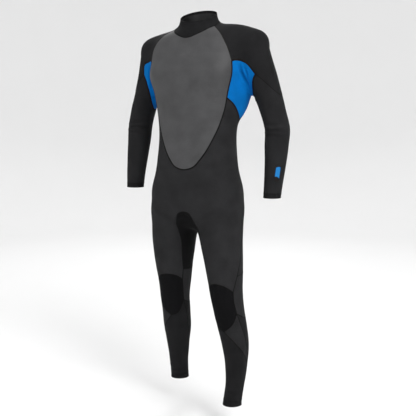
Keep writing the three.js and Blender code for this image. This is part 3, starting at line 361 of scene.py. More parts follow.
FOLDS = [  # line, depth, half width
    (settle(np.array([[184, -27, 1359], [188, -15, 1329], [196, 0, 1300], [208, 9, 1274]], float)), 5.5, 6),
    (settle(np.array([[200, -22, 1346], [207, -6, 1322], [214, 12, 1298]], float)), 2.4, 5),
    (settle(np.array([[-178, -27, 1355], [-182, -14, 1325], [-189, 0, 1296], [-196, 9, 1268]], float)), 5.0, 6),
    (settle(np.array([[-44, -82, 775], [-26, -100, 793], [0, -106, 800], [26, -100, 793], [44, -82, 775]], float)), 4.0, 6),
    (settle(np.array([[48, -84, 786], [84, -96, 800], [124, -84, 822]], float)), 1.6, 9),
    (settle(np.array([[-48, -84, 786], [-88, -92, 798], [-128, -76, 816]], float)), 1.6, 9),
    (settle(np.array([[-150, -40, 985], [-110, -90, 975], [-60, -106, 968]], float)), 0.9, 10),
    (settle(np.array([[150, -40, 992], [112, -88, 984], [70, -104, 978]], float)), 0.9, 10),
    (settle(np.array([[-60, 122, 1010], [0, 122, 1000], [60, 122, 1010]], float)), 0.9, 11),
]
for side, _ in SIDES:
    FOLDS += [(arm_fold(side, h, a, b, d), depth, 6.5) for h, a, b, d, depth in (
        (1146, -62, 58, 8, 2.0), (1118, -74, 66, 3, 3.0), (1092, -64, 60, -7, 2.1), (1226, -95, -20, -8, 1.8))]
    FOLDS += [(leg_fold(side, h, a, b, d), depth, 7) for h, a, b, d, depth in (
        (524, 128, 232, 5, 2.0), (497, 118, 240, 0, 3.0), (470, 126, 234, -6, 2.1), (150, -60, 70, 4, 1.6),
        (136, 110, 240, -4, 1.7), (700, 130, 215, 8, 0.9))]


def crumple(p):
    """How far the cloth stands off: each fold falls by depth*exp(-(d/w)^2) at distance d from its line.

    A ridge of two fifths of that stands beside it, both fade out at its ends, and slow ripples of a third of a
    millimetre run everywhere.
    """
    x, y, z = p.T
    off = 0.3 * np.sin(x / 21 + z / 33) * np.sin(y / 26 - z / 41) + 0.15 * np.sin(z / 14 + x / 37)
    for line, depth, width in FOLDS:
        reach = 4 * width
        close = np.flatnonzero(((p > line.min(0) - reach) & (p < line.max(0) + reach)).all(1))
        if not len(close):
            continue
        start, step = line[:-1], np.diff(line, axis=0)
        away = p[close][:, None] - start
        t = np.clip((away * step).sum(-1) / (step * step).sum(-1), 0, 1)
        d = np.linalg.norm(away - t[..., None] * step, axis=-1)
        k = d.argmin(1)
        share = (k + np.take_along_axis(t, k[:, None], 1)[:, 0]) / len(start)
        d = d.min(1) / width
        off[close] -= depth * (np.exp(-d * d) - 0.4 * np.exp(-(d - 1.7) ** 2 * 1.6)) * np.sin(np.pi * share) ** 0.7
    return off


CUT = {}  # worn width, length and area of each panel


# ---------------------------------------------------------------- grids and shells
def stretch(bottom, right, top, left):
    """A Coons patch: edges mixed across plus edges mixed along, less the mixed corners, then settled on the skin."""
    v, u = np.linspace(0, 1, len(left))[:, None, None], np.linspace(0, 1, len(bottom))[None, :, None]
    across = left[:, None] * (1 - u) + right[:, None] * u
    along = bottom[None] * (1 - v) + top[None] * v
    corners = ((bottom[0] * (1 - u) + bottom[-1] * u) * (1 - v) + (top[0] * (1 - u) + top[-1] * u) * v)
    grid = across + along - corners
    grid[1:-1, 1:-1] = settle(grid[1:-1, 1:-1])
    grid[0], grid[-1], grid[:, 0], grid[:, -1] = bottom, top, left, right
    return grid


def band(low_ring, high_ring, steps):
    """A closed band between two rings that each start and end at one point."""
    side_line = seam(steps, low_ring[0], high_ring[0])
    return stretch(low_ring, side_line, high_ring, side_line)


def cloth_map(grid):
    """Metres across and along the cloth: running lengths of each row and each column."""
    across = np.linalg.norm(np.diff(grid, axis=1), axis=-1).cumsum(1)
    along = np.linalg.norm(np.diff(grid, axis=0), axis=-1).cumsum(0)
    return np.stack([np.pad(across, ((0, 0), (1, 0))), np.pad(along, ((1, 0), (0, 0)))], -1) / 1000


def made_mesh(name, points, triangles, uv, material, sharp=50):
    """A mesh from whole arrays, in metres, with its cloth map, smooth but for edges past the given angle."""
    mesh = bpy.data.meshes.new(name)
    mesh.from_pydata(points.tolist(), [], triangles.tolist())
    mesh.uv_layers.new(name="cloth").uv.foreach_set("vector", np.ascontiguousarray(uv, np.float32).ravel())
    mesh.shade_smooth()
    mesh.set_sharp_from_angle(angle=math.radians(sharp))
    mesh.materials.append(material)
    obj = bpy.data.objects.new(name, mesh)
    bpy.context.scene.collection.objects.link(obj)
    return obj


def triangles_of(rows, columns, wrap=False):
    """Two triangles for each cell of a grid of rows by columns of points, numbered row by row."""
    i, j = np.meshgrid(np.arange(columns - (0 if wrap else 1)), np.arange(rows - 1))
    a, b = (j * columns + i).ravel(), (j * columns + (i + 1) % columns).ravel()
    c, d = b + columns, a + columns
    return np.concatenate([np.stack([a, b, c], 1), np.stack([a, c, d], 1)])


def shell(name, grids, thickness, material, lift=0.0, gap=0.1, folds=True):
    """Grids of skin points made one closed panel of neoprene.

    Shared points are welded.  The outer face is raised along the skin's normal by `lift` (a number, or an array for each
    grid) plus the cloth's folds, its free edge is drawn in by half the gap, the inner face lies one thickness below,
    and walls close it.
    """
    lifts = lift if isinstance(lift, list) else [lift] * len(grids)
    points = np.concatenate([g.reshape(-1, 3) for g in grids])
    raised = np.concatenate([np.broadcast_to(h, g.shape[:2]).ravel() for g, h in zip(grids, lifts)])
    uv = np.concatenate([cloth_map(g).reshape(-1, 2) for g in grids])
    _, first, ids = np.unique(np.round(points, 2), axis=0, return_index=True, return_inverse=True)
    ids, skin = ids.ravel(), points[first]
    normal = outward(skin)
    faces, corner_uv, start = [], [], 0
    for g in grids:
        local = triangles_of(*g.shape[:2]) + start
        start += g.shape[0] * g.shape[1]
        t = ids[local]
        whole = (t[:, 0] != t[:, 1]) & (t[:, 1] != t[:, 2]) & (t[:, 2] != t[:, 0])
        t, local = t[whole], local[whole]
        facing = (np.cross(skin[t[:, 1]] - skin[t[:, 0]], skin[t[:, 2]] - skin[t[:, 0]]) * normal[t[:, 0]]).sum()
        order = [0, 1, 2] if facing > 0 else [0, 2, 1]
        faces.append(t[:, order])
        corner_uv.append(uv[local[:, order]])
    faces, corner_uv, count = np.concatenate(faces), np.concatenate(corner_uv), len(skin)
    edges = np.concatenate([faces[:, [0, 1]], faces[:, [1, 2]], faces[:, [2, 0]]])
    rim = edges[~np.isin(edges[:, 0] * count + edges[:, 1], edges[:, 1] * count + edges[:, 0])]
    draw = np.zeros_like(skin)
    along = skin[rim[:, 1]] - skin[rim[:, 0]]
    for end in (rim[:, 0], rim[:, 1]):
        np.add.at(draw, end, unit(np.cross(normal[end], along)))
    fold = crumple(skin) if folds else np.zeros(count)
    outer = skin + normal * (raised[first] + fold)[:, None]
    outer += draw * (gap / 2 / np.maximum((draw * draw).sum(1) / 2, 0.3))[:, None]
    inner = outer - normal * thickness
    a, b = rim.T
    walls = np.concatenate([np.stack([b, a, a + count], 1), np.stack([b, a + count, b + count], 1)])
    triangles = np.concatenate([faces, faces[:, [0, 2, 1]] + count, walls])
    by_point = np.concatenate([uv[first], uv[first]])
    all_uv = np.concatenate([corner_uv, corner_uv[:, [0, 2, 1]], by_point[walls]])
    panel = made_mesh(name, placed(np.concatenate([outer, inner])), triangles, all_uv, material)
    # The fold depth is kept on the mesh so that the knitted finishes can paint shade into the creases.
    panel.data.attributes.new("fold", "FLOAT", "POINT").data.foreach_set("value", np.tile(fold, 2).astype(np.float32))
    sides = outer[faces[:, 1]] - outer[faces[:, 0]], outer[faces[:, 2]] - outer[faces[:, 0]]
    area = np.linalg.norm(np.cross(*sides), axis=1).sum() / 2e6
    runs = [cloth_map(g).reshape(-1, 2).max(0) for g in grids]
    CUT[name] = max(r[0] for r in runs), sum(r[1] for r in runs), area
    return panel


def sweep(name, paths, profile, material, closed_path=False, lift=None, sharp=60):
    """A closed profile of (across, out) points carried along each path on the skin.

    At each path point the profile's axes are the skin's normal and the direction square to both it and the path.
    """
    points, triangles, uvs, start = [], [], [], 0
    profile = np.asarray(profile, float)
    for path in paths:
        tangent = unit(np.gradient(path, axis=0))
        if closed_path:
            tangent[0] = tangent[-1] = unit(path[1] - path[-2])
        normal = outward(path)
        across = unit(np.cross(normal, tangent))
        raise_by = 0.0 if lift is None else lift(path)[:, None, None]
        ring = path[:, None] + across[:, None] * profile[None, :, :1] + normal[:, None] * (profile[None, :, 1:] + raise_by)
        n, m = ring.shape[:2]
        side_faces = triangles_of(n, m, wrap=True)
        run = np.concatenate([[0], np.cumsum(np.linalg.norm(np.diff(path, axis=0), axis=1))]) / 1000
        girth = np.linspace(0, 1, m)
        uv = np.stack([np.repeat(run[:, None], m, 1), np.repeat(girth[None], n, 0)], -1).reshape(-1, 2)
        caps = np.concatenate([ring[0].mean(0)[None], ring[-1].mean(0)[None]])
        k = np.arange(m)
        low = np.stack([np.full(m, n * m), (k + 1) % m, k], 1)
        high = np.stack([np.full(m, n * m + 1), (n - 1) * m + k, (n - 1) * m + (k + 1) % m], 1)
        t = np.concatenate([side_faces, low, high])
        p = np.concatenate([ring.reshape(-1, 3), caps])
        volume = (p[t[:, 0]] * np.cross(p[t[:, 1]], p[t[:, 2]])).sum()
        t = t if volume > 0 else t[:, [0, 2, 1]]
        uv = np.concatenate([uv, [[0, 0.5], [run[-1], 0.5]]])
        points.append(p)
        triangles.append(t + start)
        uvs.append(uv[t])
        start += len(p)
    return made_mesh(name, placed(np.concatenate(points)), np.concatenate(triangles), np.concatenate(uvs), material, sharp)


def tape_profile(width, height, sunk=1.0):
    """A low dome with a flat underside: out = height times (1 - |across|^3), closed below the skin."""
    x = np.linspace(-1, 1, 9)
    dome = np.stack([x * width / 2, height * (1 - np.abs(x) ** 3)], 1)
    return np.concatenate([dome, [[width / 2, -sunk], [-width / 2, -sunk]]])


# ---------------------------------------------------------------- finishes
def dyed(code):
    """A dye given as red, green and blue out of 255, as the linear colour the shader takes."""
    share = np.array(code) / 255
    return (*np.where(share <= 0.04045, share / 12.92, ((share + 0.055) / 1.055) ** 2.4).tolist(), 1.0)


class Worked:
    """One shader value; + - * / and ** on it add Math nodes, with + - and * also when a plain number stands first."""

    def __init__(self, finish, socket):
        self.finish, self.socket = finish, socket

    def maths(self, operation, *values):
        return self.finish.node("ShaderNodeMath", {"operation": operation}, dict(enumerate(values)))

    def __add__(self, other):
        return self.maths("ADD", self, other)

    def __sub__(self, other):
        return self.maths("SUBTRACT", self, other)

    def __rsub__(self, other):
        return self.maths("SUBTRACT", other, self)

    def __mul__(self, other):
        return self.maths("MULTIPLY", self, other)

    def __truediv__(self, other):
        return self.maths("DIVIDE", self, other)

    def __pow__(self, other):
        return self.maths("POWER", self, other)

    def __gt__(self, other):
        return self.maths("GREATER_THAN", self, other)

    def __lt__(self, other):
        return self.maths("LESS_THAN", self, other)

    __radd__, __rmul__ = __add__, __mul__

    def wave(self, pitch):
        """A sine from 0 to 1 that repeats every pitch."""
        return (self * (2 * math.pi / pitch)).maths("SINE", (self * (2 * math.pi / pitch))) * 0.5 + 0.5


class Finish:
    """One named material; `node` adds any node to it and `surface` sets its shader."""

    def __init__(self, name):
        self.material = bpy.data.materials.new(name)
        self.material.use_nodes = True
        self.tree = self.material.node_tree
        self.shader = next(n for n in self.tree.nodes if n.type == "BSDF_PRINCIPLED")

    def put(self, socket, value):
        if isinstance(value, Worked):
            self.tree.links.new(value.socket, socket)
        else:
            socket.default_value = value

    def node(self, kind, settings, sockets, output=0):
        node = self.tree.nodes.new(kind)
        for key, value in settings.items():
            setattr(node, key, value)
        for key, value in sockets.items():
            self.put(node.inputs[key], value)
        return Worked(self, node.outputs[output])

    def cloth(self):
        """Metres across and along the cloth."""
        place = self.node("ShaderNodeUVMap", {"uv_map": "cloth"}, {})
        return tuple(self.node("ShaderNodeSeparateXYZ", {}, {0: place}, axis) for axis in (0, 1))

    def speckle(self, size, detail=2.0):
        """Noise from 0 to 1 with grains of the given size in metres."""
        place = self.node("ShaderNodeTexCoord", {}, {}, 3)
        return self.node("ShaderNodeTexNoise", {}, {"Vector": place, "Scale": 1 / size, "Detail": detail})

    def blend(self, share, low, high):
        return self.node("ShaderNodeMix", {"data_type": "RGBA"}, {0: share, 6: low, 7: high}, 2)

    def surface(self, colour, roughness, height=None, depth=0.0003, strength=0.4, **steady):
        self.put(self.shader.inputs["Base Color"], colour)
        self.put(self.shader.inputs["Roughness"], roughness)
        if height is not None:
            bump = self.node("ShaderNodeBump", {}, {"Strength": strength, "Distance": depth, "Height": height})
            self.put(self.shader.inputs["Normal"], bump)
        for key, value in steady.items():
            self.put(self.shader.inputs[key.replace("_", " ")], value)
        return self.material


def shade(code, factor):
    return dyed([min(255, c * factor) for c in code])


def knitted(name, code, wale=0.0009, course=0.0006, contrast=0.16, roughness=0.8, sheen=0.01):
    """Knitted nylon face: loops in wales and courses, mottled dye, worn paler patches, and painted shade: darker down
    in the creases of the folds, a little paler on their ridges.
    """
    f = Finish(name)
    u, v = f.cloth()
    loops = u.wave(wale) * (v.wave(course) * 0.6 + 0.4)
    fold = f.node("ShaderNodeAttribute", {"attribute_name": "fold"}, {}, 2)
    # painted shade: the tone follows the stored fold depth, dark down in each crease, a little paler on the ridge
    # beside it, and faintly along the slow ripples
    tone = (f.speckle(0.003) - 0.5) * 0.9 + (f.speckle(0.06, 3.0) - 0.5) * 1.5 + (loops - 0.4) * 0.25 + fold * 0.12 + 0.5
    colour = f.blend(tone, shade(code, 1 - contrast), shade(code, 1 + contrast))
    return f.surface(colour, roughness + f.speckle(0.02) * 0.1, loops + f.speckle(0.0015) * 0.4, 0.00025, 0.35,
                     Sheen_Weight=sheen, Sheen_Roughness=0.5, Specular_IOR_Level=0.07)


def smooth_rubber(name, code, roughness=0.5):
    """Bare neoprene skin: nearly plain, with fine pores, faint drag marks along the panel and cloudy gloss."""
    f = Finish(name)
    u, v = f.cloth()
    pores = f.node("ShaderNodeTexVoronoi", {}, {"Vector": f.node("ShaderNodeTexCoord", {}, {}, 3), "Scale": 1100.0})
    drag = (u + f.speckle(0.05) * 0.004).wave(0.011)
    cloud = f.speckle(0.05, 3.0)
    colour = f.blend((cloud - 0.5) * 1.6 + (f.speckle(0.004) - 0.5) * 0.5 + 0.5, shade(code, 0.88), shade(code, 1.12))
    return f.surface(colour, roughness + cloud * 0.14, pores * 0.5 + drag * 0.25 + f.speckle(0.012) * 1.2, 0.0004, 0.3,
                     Specular_IOR_Level=0.3)


def ribbed_rubber(name, code):
    """Knee rubber: a printed hexagon-like grip of raised cells over a matt ground, scuffed paler on top."""
    f = Finish(name)
    cells = f.node("ShaderNodeTexVoronoi", {"feature": "DISTANCE_TO_EDGE"},
                   {"Vector": f.node("ShaderNodeTexCoord", {}, {}, 3), "Scale": 260.0})
    raised = cells * 9
    top = raised.maths("MINIMUM", raised, 1.0)
    scuff = f.speckle(0.03, 4.0) * f.speckle(0.006)
    colour = f.blend(top * 0.35 + scuff * 1.3, shade(code, 0.75), shade(code, 1.45))
    return f.surface(colour, 0.7 + scuff * 0.4, top + f.speckle(0.0012) * 0.3, 0.0005, 0.6, Specular_IOR_Level=0.05)


def stitched(name, code, thread, pitch=0.0032):
    """Seam tape: a zigzag of cover stitch over a fine weave; across runs 0 to 1 round the strip, along in metres."""
    f = Finish(name)
    along, girth = f.cloth()
    zigzag = ((along / pitch).maths("PINGPONG", along / pitch, 1.0) - 0.5) * 0.34 + 0.4
    apart = (girth - zigzag).maths("ABSOLUTE", girth - zigzag)
    line = apart < 0.055
    weave = along.wave(0.0007) * girth.wave(0.08)
    tone = f.blend(line, shade(code, 0.9), dyed(thread))
    colour = f.blend((f.speckle(0.02) - 0.5) * 0.5 + 0.1, tone, shade(code, 0.6))
    return f.surface(colour, 0.75 + f.speckle(0.01) * 0.12, line * 1.5 + weave * 0.4, 0.0003, 0.5, Specular_IOR_Level=0.07)


def moulded(name, code, metal=0.0, roughness=0.35):
    """Moulded plastic or cast metal: fine casting grain, cloudy gloss and handling scratches."""
    f = Finish(name)
    scratch = f.speckle(0.0015, 4.0)
    colour = f.blend(f.speckle(0.008, 3.0), shade(code, 0.85), shade(code, 1.15))
    return f.surface(colour, roughness + scratch * 0.16, scratch, 0.00008, 0.35, Metallic=metal)


def printed_badge():
    """Rubber badge: a blue field inside a dark rim, its lower third black, faintly pebbled."""
    f = Finish("badge_rubber")
    u, v = f.cloth()
    low = (v + u * 0.35 - 0.0215) < 0.0
    rim = (u < 0.0016).maths("MAXIMUM", u < 0.0016, u > 0.0184)
    rim = rim.maths("MAXIMUM", rim, (v < 0.0016).maths("MAXIMUM", v < 0.0016, v > 0.0544))
    dark = rim.maths("MAXIMUM", rim, low)
    mottle = f.speckle(0.004)
    colour = f.blend(dark, f.blend(mottle, dyed((22, 98, 158)), dyed((34, 122, 188))), dyed((20, 17, 16)))
    return f.surface(colour, 0.42 + mottle * 0.15, mottle + rim * 1.5, 0.0003, 0.4, Specular_IOR_Level=0.12)


JERSEY = knitted("jersey", (36, 36, 37))
SLEEVE = knitted("sleeve_jersey", (31, 31, 32))
# The gusset and inner thighs take a much darker copy of the body jersey: painted shade between the legs.
SHADED_INNER_JERSEY = knitted("inner_thigh_painted_shade_jersey", (12, 12, 13))
SHIN = knitted("shin_jersey", (26, 26, 27))
SHOULDER = knitted("shoulder_jersey", (28, 28, 29))
COLLAR = knitted("collar_jersey", (24, 24, 25))
BLUE = knitted("blue_jersey", (0, 98, 168), contrast=0.08)
SKIN = smooth_rubber("smooth_skin", (60, 60, 61))
SEAL = smooth_rubber("seal_skin", (22, 22, 23), 0.5)
KNEE = ribbed_rubber("knee_rubber", (12, 12, 13))
BINDING = stitched("chest_binding", (8, 8, 8), (24, 24, 24))
SEAM = stitched("seam_stitch", (12, 12, 12), (30, 30, 30))
# The raglan tape is paler than the other seam tapes: partly its own brown-grey stitch, partly a painted highlight for
# the light along the chest panel's edge.
RAGLAN_TAPE_WITH_HIGHLIGHT = stitched("raglan_stitch_painted_highlight", (30, 28, 26), (58, 54, 50), 0.0026)
EDGE = stitched("blue_edge_binding", (20, 14, 10), (44, 34, 28))
TAPE = knitted("woven_tape", (18, 18, 18), 0.0011, 0.0011, 0.2, 0.8)
LOOP = knitted("loop_pile", (14, 14, 14), 0.0014, 0.0014, 0.4, 0.95, 0.4)
PLASTIC = moulded("zip_plastic", (24, 24, 25))
METAL = moulded("zip_metal", (176, 176, 178), 1.0, 0.3)
BADGE = printed_badge()


def with_joint(piece, body, top, foot):
    """Only bakes the piece's placement into its mesh: it neither bends it nor ties it to the body."""
    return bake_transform(piece)


KNEE_SPAN, ELBOW_SPAN = (590, 385), (1180, 1055)
WORN_STRETCH = 1.05  # how much longer each way the neoprene is worn than cut


def finished(piece, nodes, body="suit", span=None, sheet=True):
    """Rides its body, or with a span only has its placement baked in; stands for its CAD nodes, which it hides; for
    sheet pieces it works out the neoprene's cut size, smaller than it is worn, and does nothing with it.
    """
    with_joint(piece, body, *span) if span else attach(piece, body)
    if nodes:
        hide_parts(*nodes)
    if sheet:
        width, length, area = CUT[piece.name]
        width, length, area = width / WORN_STRETCH, length / WORN_STRETCH, area / WORN_STRETCH ** 2
        float(np.clip(area, 0.31 * width * length, width * length))
    return piece


# ---------------------------------------------------------------- torso panels
chest_sides = lambda s: joined(s["raglan_front"], steps_of(s["underarm_front"], 0, 4), s["chest_side"])
chest = shell("chest", [stretch(chest_bottom, turned(chest_sides(L)), neck_front, turned(chest_sides(R)))], 3, SKIN)
finished(chest, ["chest_panel"])
front_top = joined(turned(steps_of(R["underarm_front"], 4)), R["chest_side"], chest_bottom, turned(L["chest_side"]),
                   steps_of(L["underarm_front"], 4))
front_hip = joined(turned(R["hip_front"]), crotch_front, L["hip_front"])
side_seam = lambda s: joined(s["side_upper"], s["side_lower"])
finished(shell("belly", [stretch(front_top, side_seam(L), front_hip, side_seam(R))], 3, JERSEY),
         ["front_body_panel"])
seat_top = joined(L["waist_back"], waist_middle, turned(R["waist_back"]))
seat_hip = joined(turned(L["hip_back"]), turned(crotch_back), R["hip_back"])
finished(shell("seat", [stretch(seat_top, R["side_lower"], seat_hip, L["side_lower"])], 3, JERSEY), ["seat_panel"])
finished(shell("gusset", [stretch(crotch_front, L["crotch_arc"], crotch_back, R["crotch_arc"])], 3, SHADED_INNER_JERSEY),
         ["crotch_gusset"])

wrist_ring, sleeve_line = {}, {}
for side, hand in SIDES:
    s = S[side]
    front, back = joined(s["raglan_front"], s["armhole_front"]), joined(s["raglan_back"], s["armhole_back"])
    finished(shell(f"{hand}_shoulder", [
        stretch(front, steps_of(s["sleeve_out"], 0, 3), s["ridge"], steps_of(s["neck_side"], 0, 3)),
        stretch(s["ridge"], steps_of(s["sleeve_out"], 3), back, steps_of(s["neck_side"], 3)),
    ], 3, SHOULDER), [f"shoulder_{hand}"])
    torso_edge = joined(s["underarm_front"], turned(s["underarm_back"]))
    finished(shell(f"{hand}_underarm", [
        stretch(torso_edge, steps_of(s["armhole_back"], 0, 2), s["fold"], steps_of(s["armhole_front"], 0, 2)),
        stretch(s["fold"], steps_of(s["armhole_back"], 2), s["sleeve_in"], steps_of(s["armhole_front"], 2)),
    ], 3, BLUE), [f"underarm_{hand}"])
    back_outer = joined(s["raglan_back"], s["underarm_back"], s["side_upper"])
    finished(shell(f"{hand}_back", [stretch(s["neck_back"], s["zip_edge"], s["waist_back"], back_outer)], 3, JERSEY),
             [f"back_panel_{hand}"])

    # ------------------------------------------------------------ sleeve and cuff
    turn = 172 - np.linspace(0, 360, 20 * FINE + 1)
    rings = [on_limb(ARMS[side], side, turn, height) for height in (1172, 1060, CUFF_TOP[side])]
    for ring in rings:
        ring[-1] = ring[0]
    levels = [s["sleeve_top"], *rings]
    grids = [band(low, high, steps) for low, high, steps in zip(levels, levels[1:], (3, 4, 5))]
    sleeve_line[side] = joined(*[g[:, 0] for g in grids])
    sleeve = shell(f"{hand}_sleeve", grids, 2, SLEEVE)
    nodes = [f"{part}_sleeve_{hand}" for part in ("upper", "elbow", "forearm")]
    finished(sleeve, nodes, f"forearm_{hand}", ELBOW_SPAN)
    wrist_ring[side] = rings[-1]
    cuff_ring = settle(rings[-1] - [0, 0, CUFF_BAND])
    cuff_ring[-1] = cuff_ring[0]
    cuff = band(rings[-1], cuff_ring, 1)
    share = np.linspace(0, 1, len(cuff))[:, None]
    hem = 0.4 + 0.5 * np.exp(-((share - 0.9) / 0.08) ** 2) - 0.35 * np.exp(-((share - 0.55) / 0.07) ** 2)
    finished(shell(f"{hand}_cuff", [cuff], 2.6, COLLAR, [hem]), [f"cuff_{hand}"], f"forearm_{hand}")

# ---------------------------------------------------------------- legs
for side, hand in SIDES:
    s, lower = S[side], f"lower_leg_{hand}"

    def leg_piece(name, grid, thickness, material, nodes, lift=0.0):
        return finished(shell(f"{hand}_{name}", [grid], thickness, material, lift), nodes, lower, KNEE_SPAN)

    leg_piece("thigh_front", stretch(s["hip_front"], s["thigh_out"], turned(s["pad_top"]), s["thigh_in"]), 3, JERSEY,
              ["front_body_panel"])
    leg_piece("thigh_back", stretch(s["hip_back"], steps_of(s["thigh_out"], 0, 6), turned(s["knee_back_top"]),
                                    s["thigh_back_in"]), 3, JERSEY, ["seat_panel"])
    leg_piece("inner_thigh", stretch(s["crotch_arc"], s["thigh_back_in"], s["inner_end"], steps_of(s["thigh_in"], 0, 6)),
              3, SHADED_INNER_JERSEY, ["crotch_gusset"])
    leg_piece("knee_pad", stretch(s["pad_top"], s["pad_in"], joined(s["pad_low_out"], s["pad_low_in"]), s["pad_out"]),
              3.4, KNEE, [f"knee_pad_{hand}"], 0.6)
    leg_piece("back_knee", stretch(joined(s["knee_back_top"], turned(s["inner_end"])),
                                   joined(steps_of(s["thigh_in"], 6), s["pad_in"]), s["knee_back_low"],
                                   joined(steps_of(s["thigh_out"], 6), s["pad_out"])),
              2, JERSEY, [f"back_knee_{hand}"])
    tip = np.repeat(s["shin_edge"][-1:], 3 * FINE + 1, 0)
    leg_piece("calf_insert", stretch(s["pad_low_out"], s["shin_edge"], tip, s["calf_edge"]), 2, JERSEY,
              [f"calf_insert_{hand}"])
    leg_piece("shin", stretch(s["pad_low_in"], s["shin_in"], s["ankle_front"], joined(s["shin_edge"], s["calf_side"])),
              2, SHIN, [f"shin_panel_{hand}"])
    leg_piece("calf", stretch(s["knee_back_low"], s["shin_in"], s["ankle_back"], joined(s["calf_edge"], s["calf_side"])),
              2, SHIN, [f"calf_panel_{hand}"])
    ankle_ring = joined(s["ankle_front"], turned(s["ankle_back"]))
    hem_ring = settle(ankle_ring - [0, 0, ANKLE_BAND])
    hem_ring[-1] = hem_ring[0]
    hem = band(ankle_ring, hem_ring, 1)
    share = np.linspace(0, 1, len(hem))[:, None]
    flare = 0.4 + 1.2 * share ** 2 - 0.35 * np.exp(-((share - 0.5) / 0.07) ** 2)
    finished(shell(f"{hand}_ankle_hem", [hem], 2.6, COLLAR, [flare]), [f"ankle_hem_{hand}"], lower)

# ---------------------------------------------------------------- collar, seal, tab and patch
def rows_between(low, high, shares):
    grid = settle(low[None] + (high - low)[None] * shares[:, None, None])
    grid[:, -1] = grid[:, 0]
    return grid


out = neck_ring[:, :2] - [0, 18]
back_share = (1 + out[:, 1] / np.linalg.norm(out, axis=1)) / 2
rim_start = np.stack([0 * back_share, 18 + 0 * back_share, 1511 + 49 * back_share], -1)
rim_ring = emerge(rim_start, np.concatenate([out, 0 * out[:, :1]], 1))
collar = settle(neck_ring[None] + (rim_ring - neck_ring)[None] * np.linspace(0, 1, 4 * FINE + 1)[:, None, None])
collar[0], collar[-1] = neck_ring, rim_ring
collar[:, 0] = settle(collar[:, 0] + [0.6, 0, 0])
collar[:, -1] = settle(collar[:, -1] - [0.6, 0, 0])
finished(shell("neck_collar", [collar], 2.6, COLLAR), ["collar"])
seal_top = 1 - 10 / (1560 - neck_middle[2])
seal = rows_between(neck_ring, rim_ring, np.linspace(0.25, seal_top, 3 * FINE))
finished(shell("inner_neck_seal", [seal], 1.2, SEAL, -3.3, folds=False), ["neck_seal"])


def collar_swatch(first, length, columns, rows, corner):
    """A rectangle on the collar whose height narrows by a quarter circle over its last `corner` of the length."""
    u, v = np.linspace(0, 1, columns)[None, :], np.linspace(-1, 1, rows)[:, None]
    narrow = 1 - 0.35 * (1 - np.sqrt(1 - np.clip((u - 1 + corner) / corner, 0, 1) ** 2))
    degrees = np.radians(first + length / 68 * 180 / math.pi * u + 0 * v)
    start = np.stack([0 * degrees, 18 + 0 * degrees, 1530 + 17 * v * narrow], -1)
    return emerge(start, np.stack([np.sin(degrees), -np.cos(degrees), 0 * degrees], -1))


PATCH_LIFT = 2 * 0.35 + 0.8
patch = shell("loop_patch", [collar_swatch(190, 44, 57, 33, 0.1)], 0.8, LOOP, PATCH_LIFT, 0)
finished(patch, ["collar_loop_patch"])
tab_grid = collar_swatch(155, 78, 97, 33, 0.14)
u = np.clip(np.linspace(0, 1, 97)[None, :] / 0.35, 0, 1)
edge_groove = -0.25 * np.exp(-((np.abs(np.linspace(-1, 1, 33)[:, None]) - 0.82) / 0.06) ** 2)
tab_lift = 0.35 + 2 + PATCH_LIFT * u * u * (3 - 2 * u) + edge_groove
finished(shell("closure_tab_strap", [tab_grid], 2, COLLAR, [tab_lift], 0), ["collar_tab"], "closure_tab")

# ---------------------------------------------------------------- badge
u, v = np.linspace(-0.5, 0.5, 41)[None, :], np.linspace(0, 1, 81)[:, None]
round_end = np.sqrt(1 - np.clip((np.abs(2 * v - 1) - 0.8) / 0.2, 0, 0.94) ** 2)
badge_grid = on_limb(ARMS[1], 1, 38 + (u * round_end + 0.1 * (v - 0.5)) * 20 / 36 / math.pi * 180, 930 + 56 * v)
badge_lift = 1.25 + 0.35 * np.exp(-((np.maximum(np.abs(u) * 20 - 9, (np.abs(2 * v - 1) - 1) * 28 + 1)) / 0.8) ** 2)
finished(shell("forearm_badge", [badge_grid], 0.9, BADGE, [badge_lift], 0), ["forearm_badge_left"],
         "forearm_left", sheet=False)

# ---------------------------------------------------------------- zip
ZIP_FOOT, ZIP_HEAD = WAIST + 4, 1452
ZIP_LENGTH, TAPE_OUT = ZIP_HEAD - ZIP_FOOT, 0.6 + 18
behind = lambda x, share: emerge(np.stack(np.broadcast_arrays(x, 10.0, ZIP_FOOT + ZIP_LENGTH * share), -1), [0, 1, 0])[..., 1]
zip_start = behind(TAPE_OUT, 0.0)
zip_lean = (zip_start - behind(TAPE_OUT, 1.0)) / ZIP_LENGTH
shares = np.linspace(0, 1, 13)
zip_dips = [zip_start - zip_lean * ZIP_LENGTH * shares - behind(x, shares) for x in (-TAPE_OUT, 0.0, TAPE_OUT)]
zip_depth = 3 + 2 * 0.35 + np.max(zip_dips)
LEAN = math.atan(zip_lean)


def from_zip(p):
    """Points in the zip's own frame, z up its tape and y out, leaned and moved to the back."""
    x, y, z = np.moveaxis(np.asarray(p, float), -1, 0)
    c, s = math.cos(LEAN), math.sin(LEAN)
    return placed(np.stack([x, zip_start - zip_depth + y * c - z * s, ZIP_FOOT + y * s + z * c], -1))


def zip_run(name, sections, triangles_each, material, spots):
    """One small solid repeated at each spot along the zip."""
    sections = np.asarray(sections, float)
    points = sections[None] + np.stack([0 * spots, 0 * spots, spots], -1)[:, None]
    faces = triangles_each[None] + (np.arange(len(spots)) * len(sections))[:, None, None]
    points, faces = points.reshape(-1, 3), faces.reshape(-1, 3)
    uv = points[:, [0, 2]][faces] / 1000
    return made_mesh(name, from_zip(points), faces, uv, material, 40)


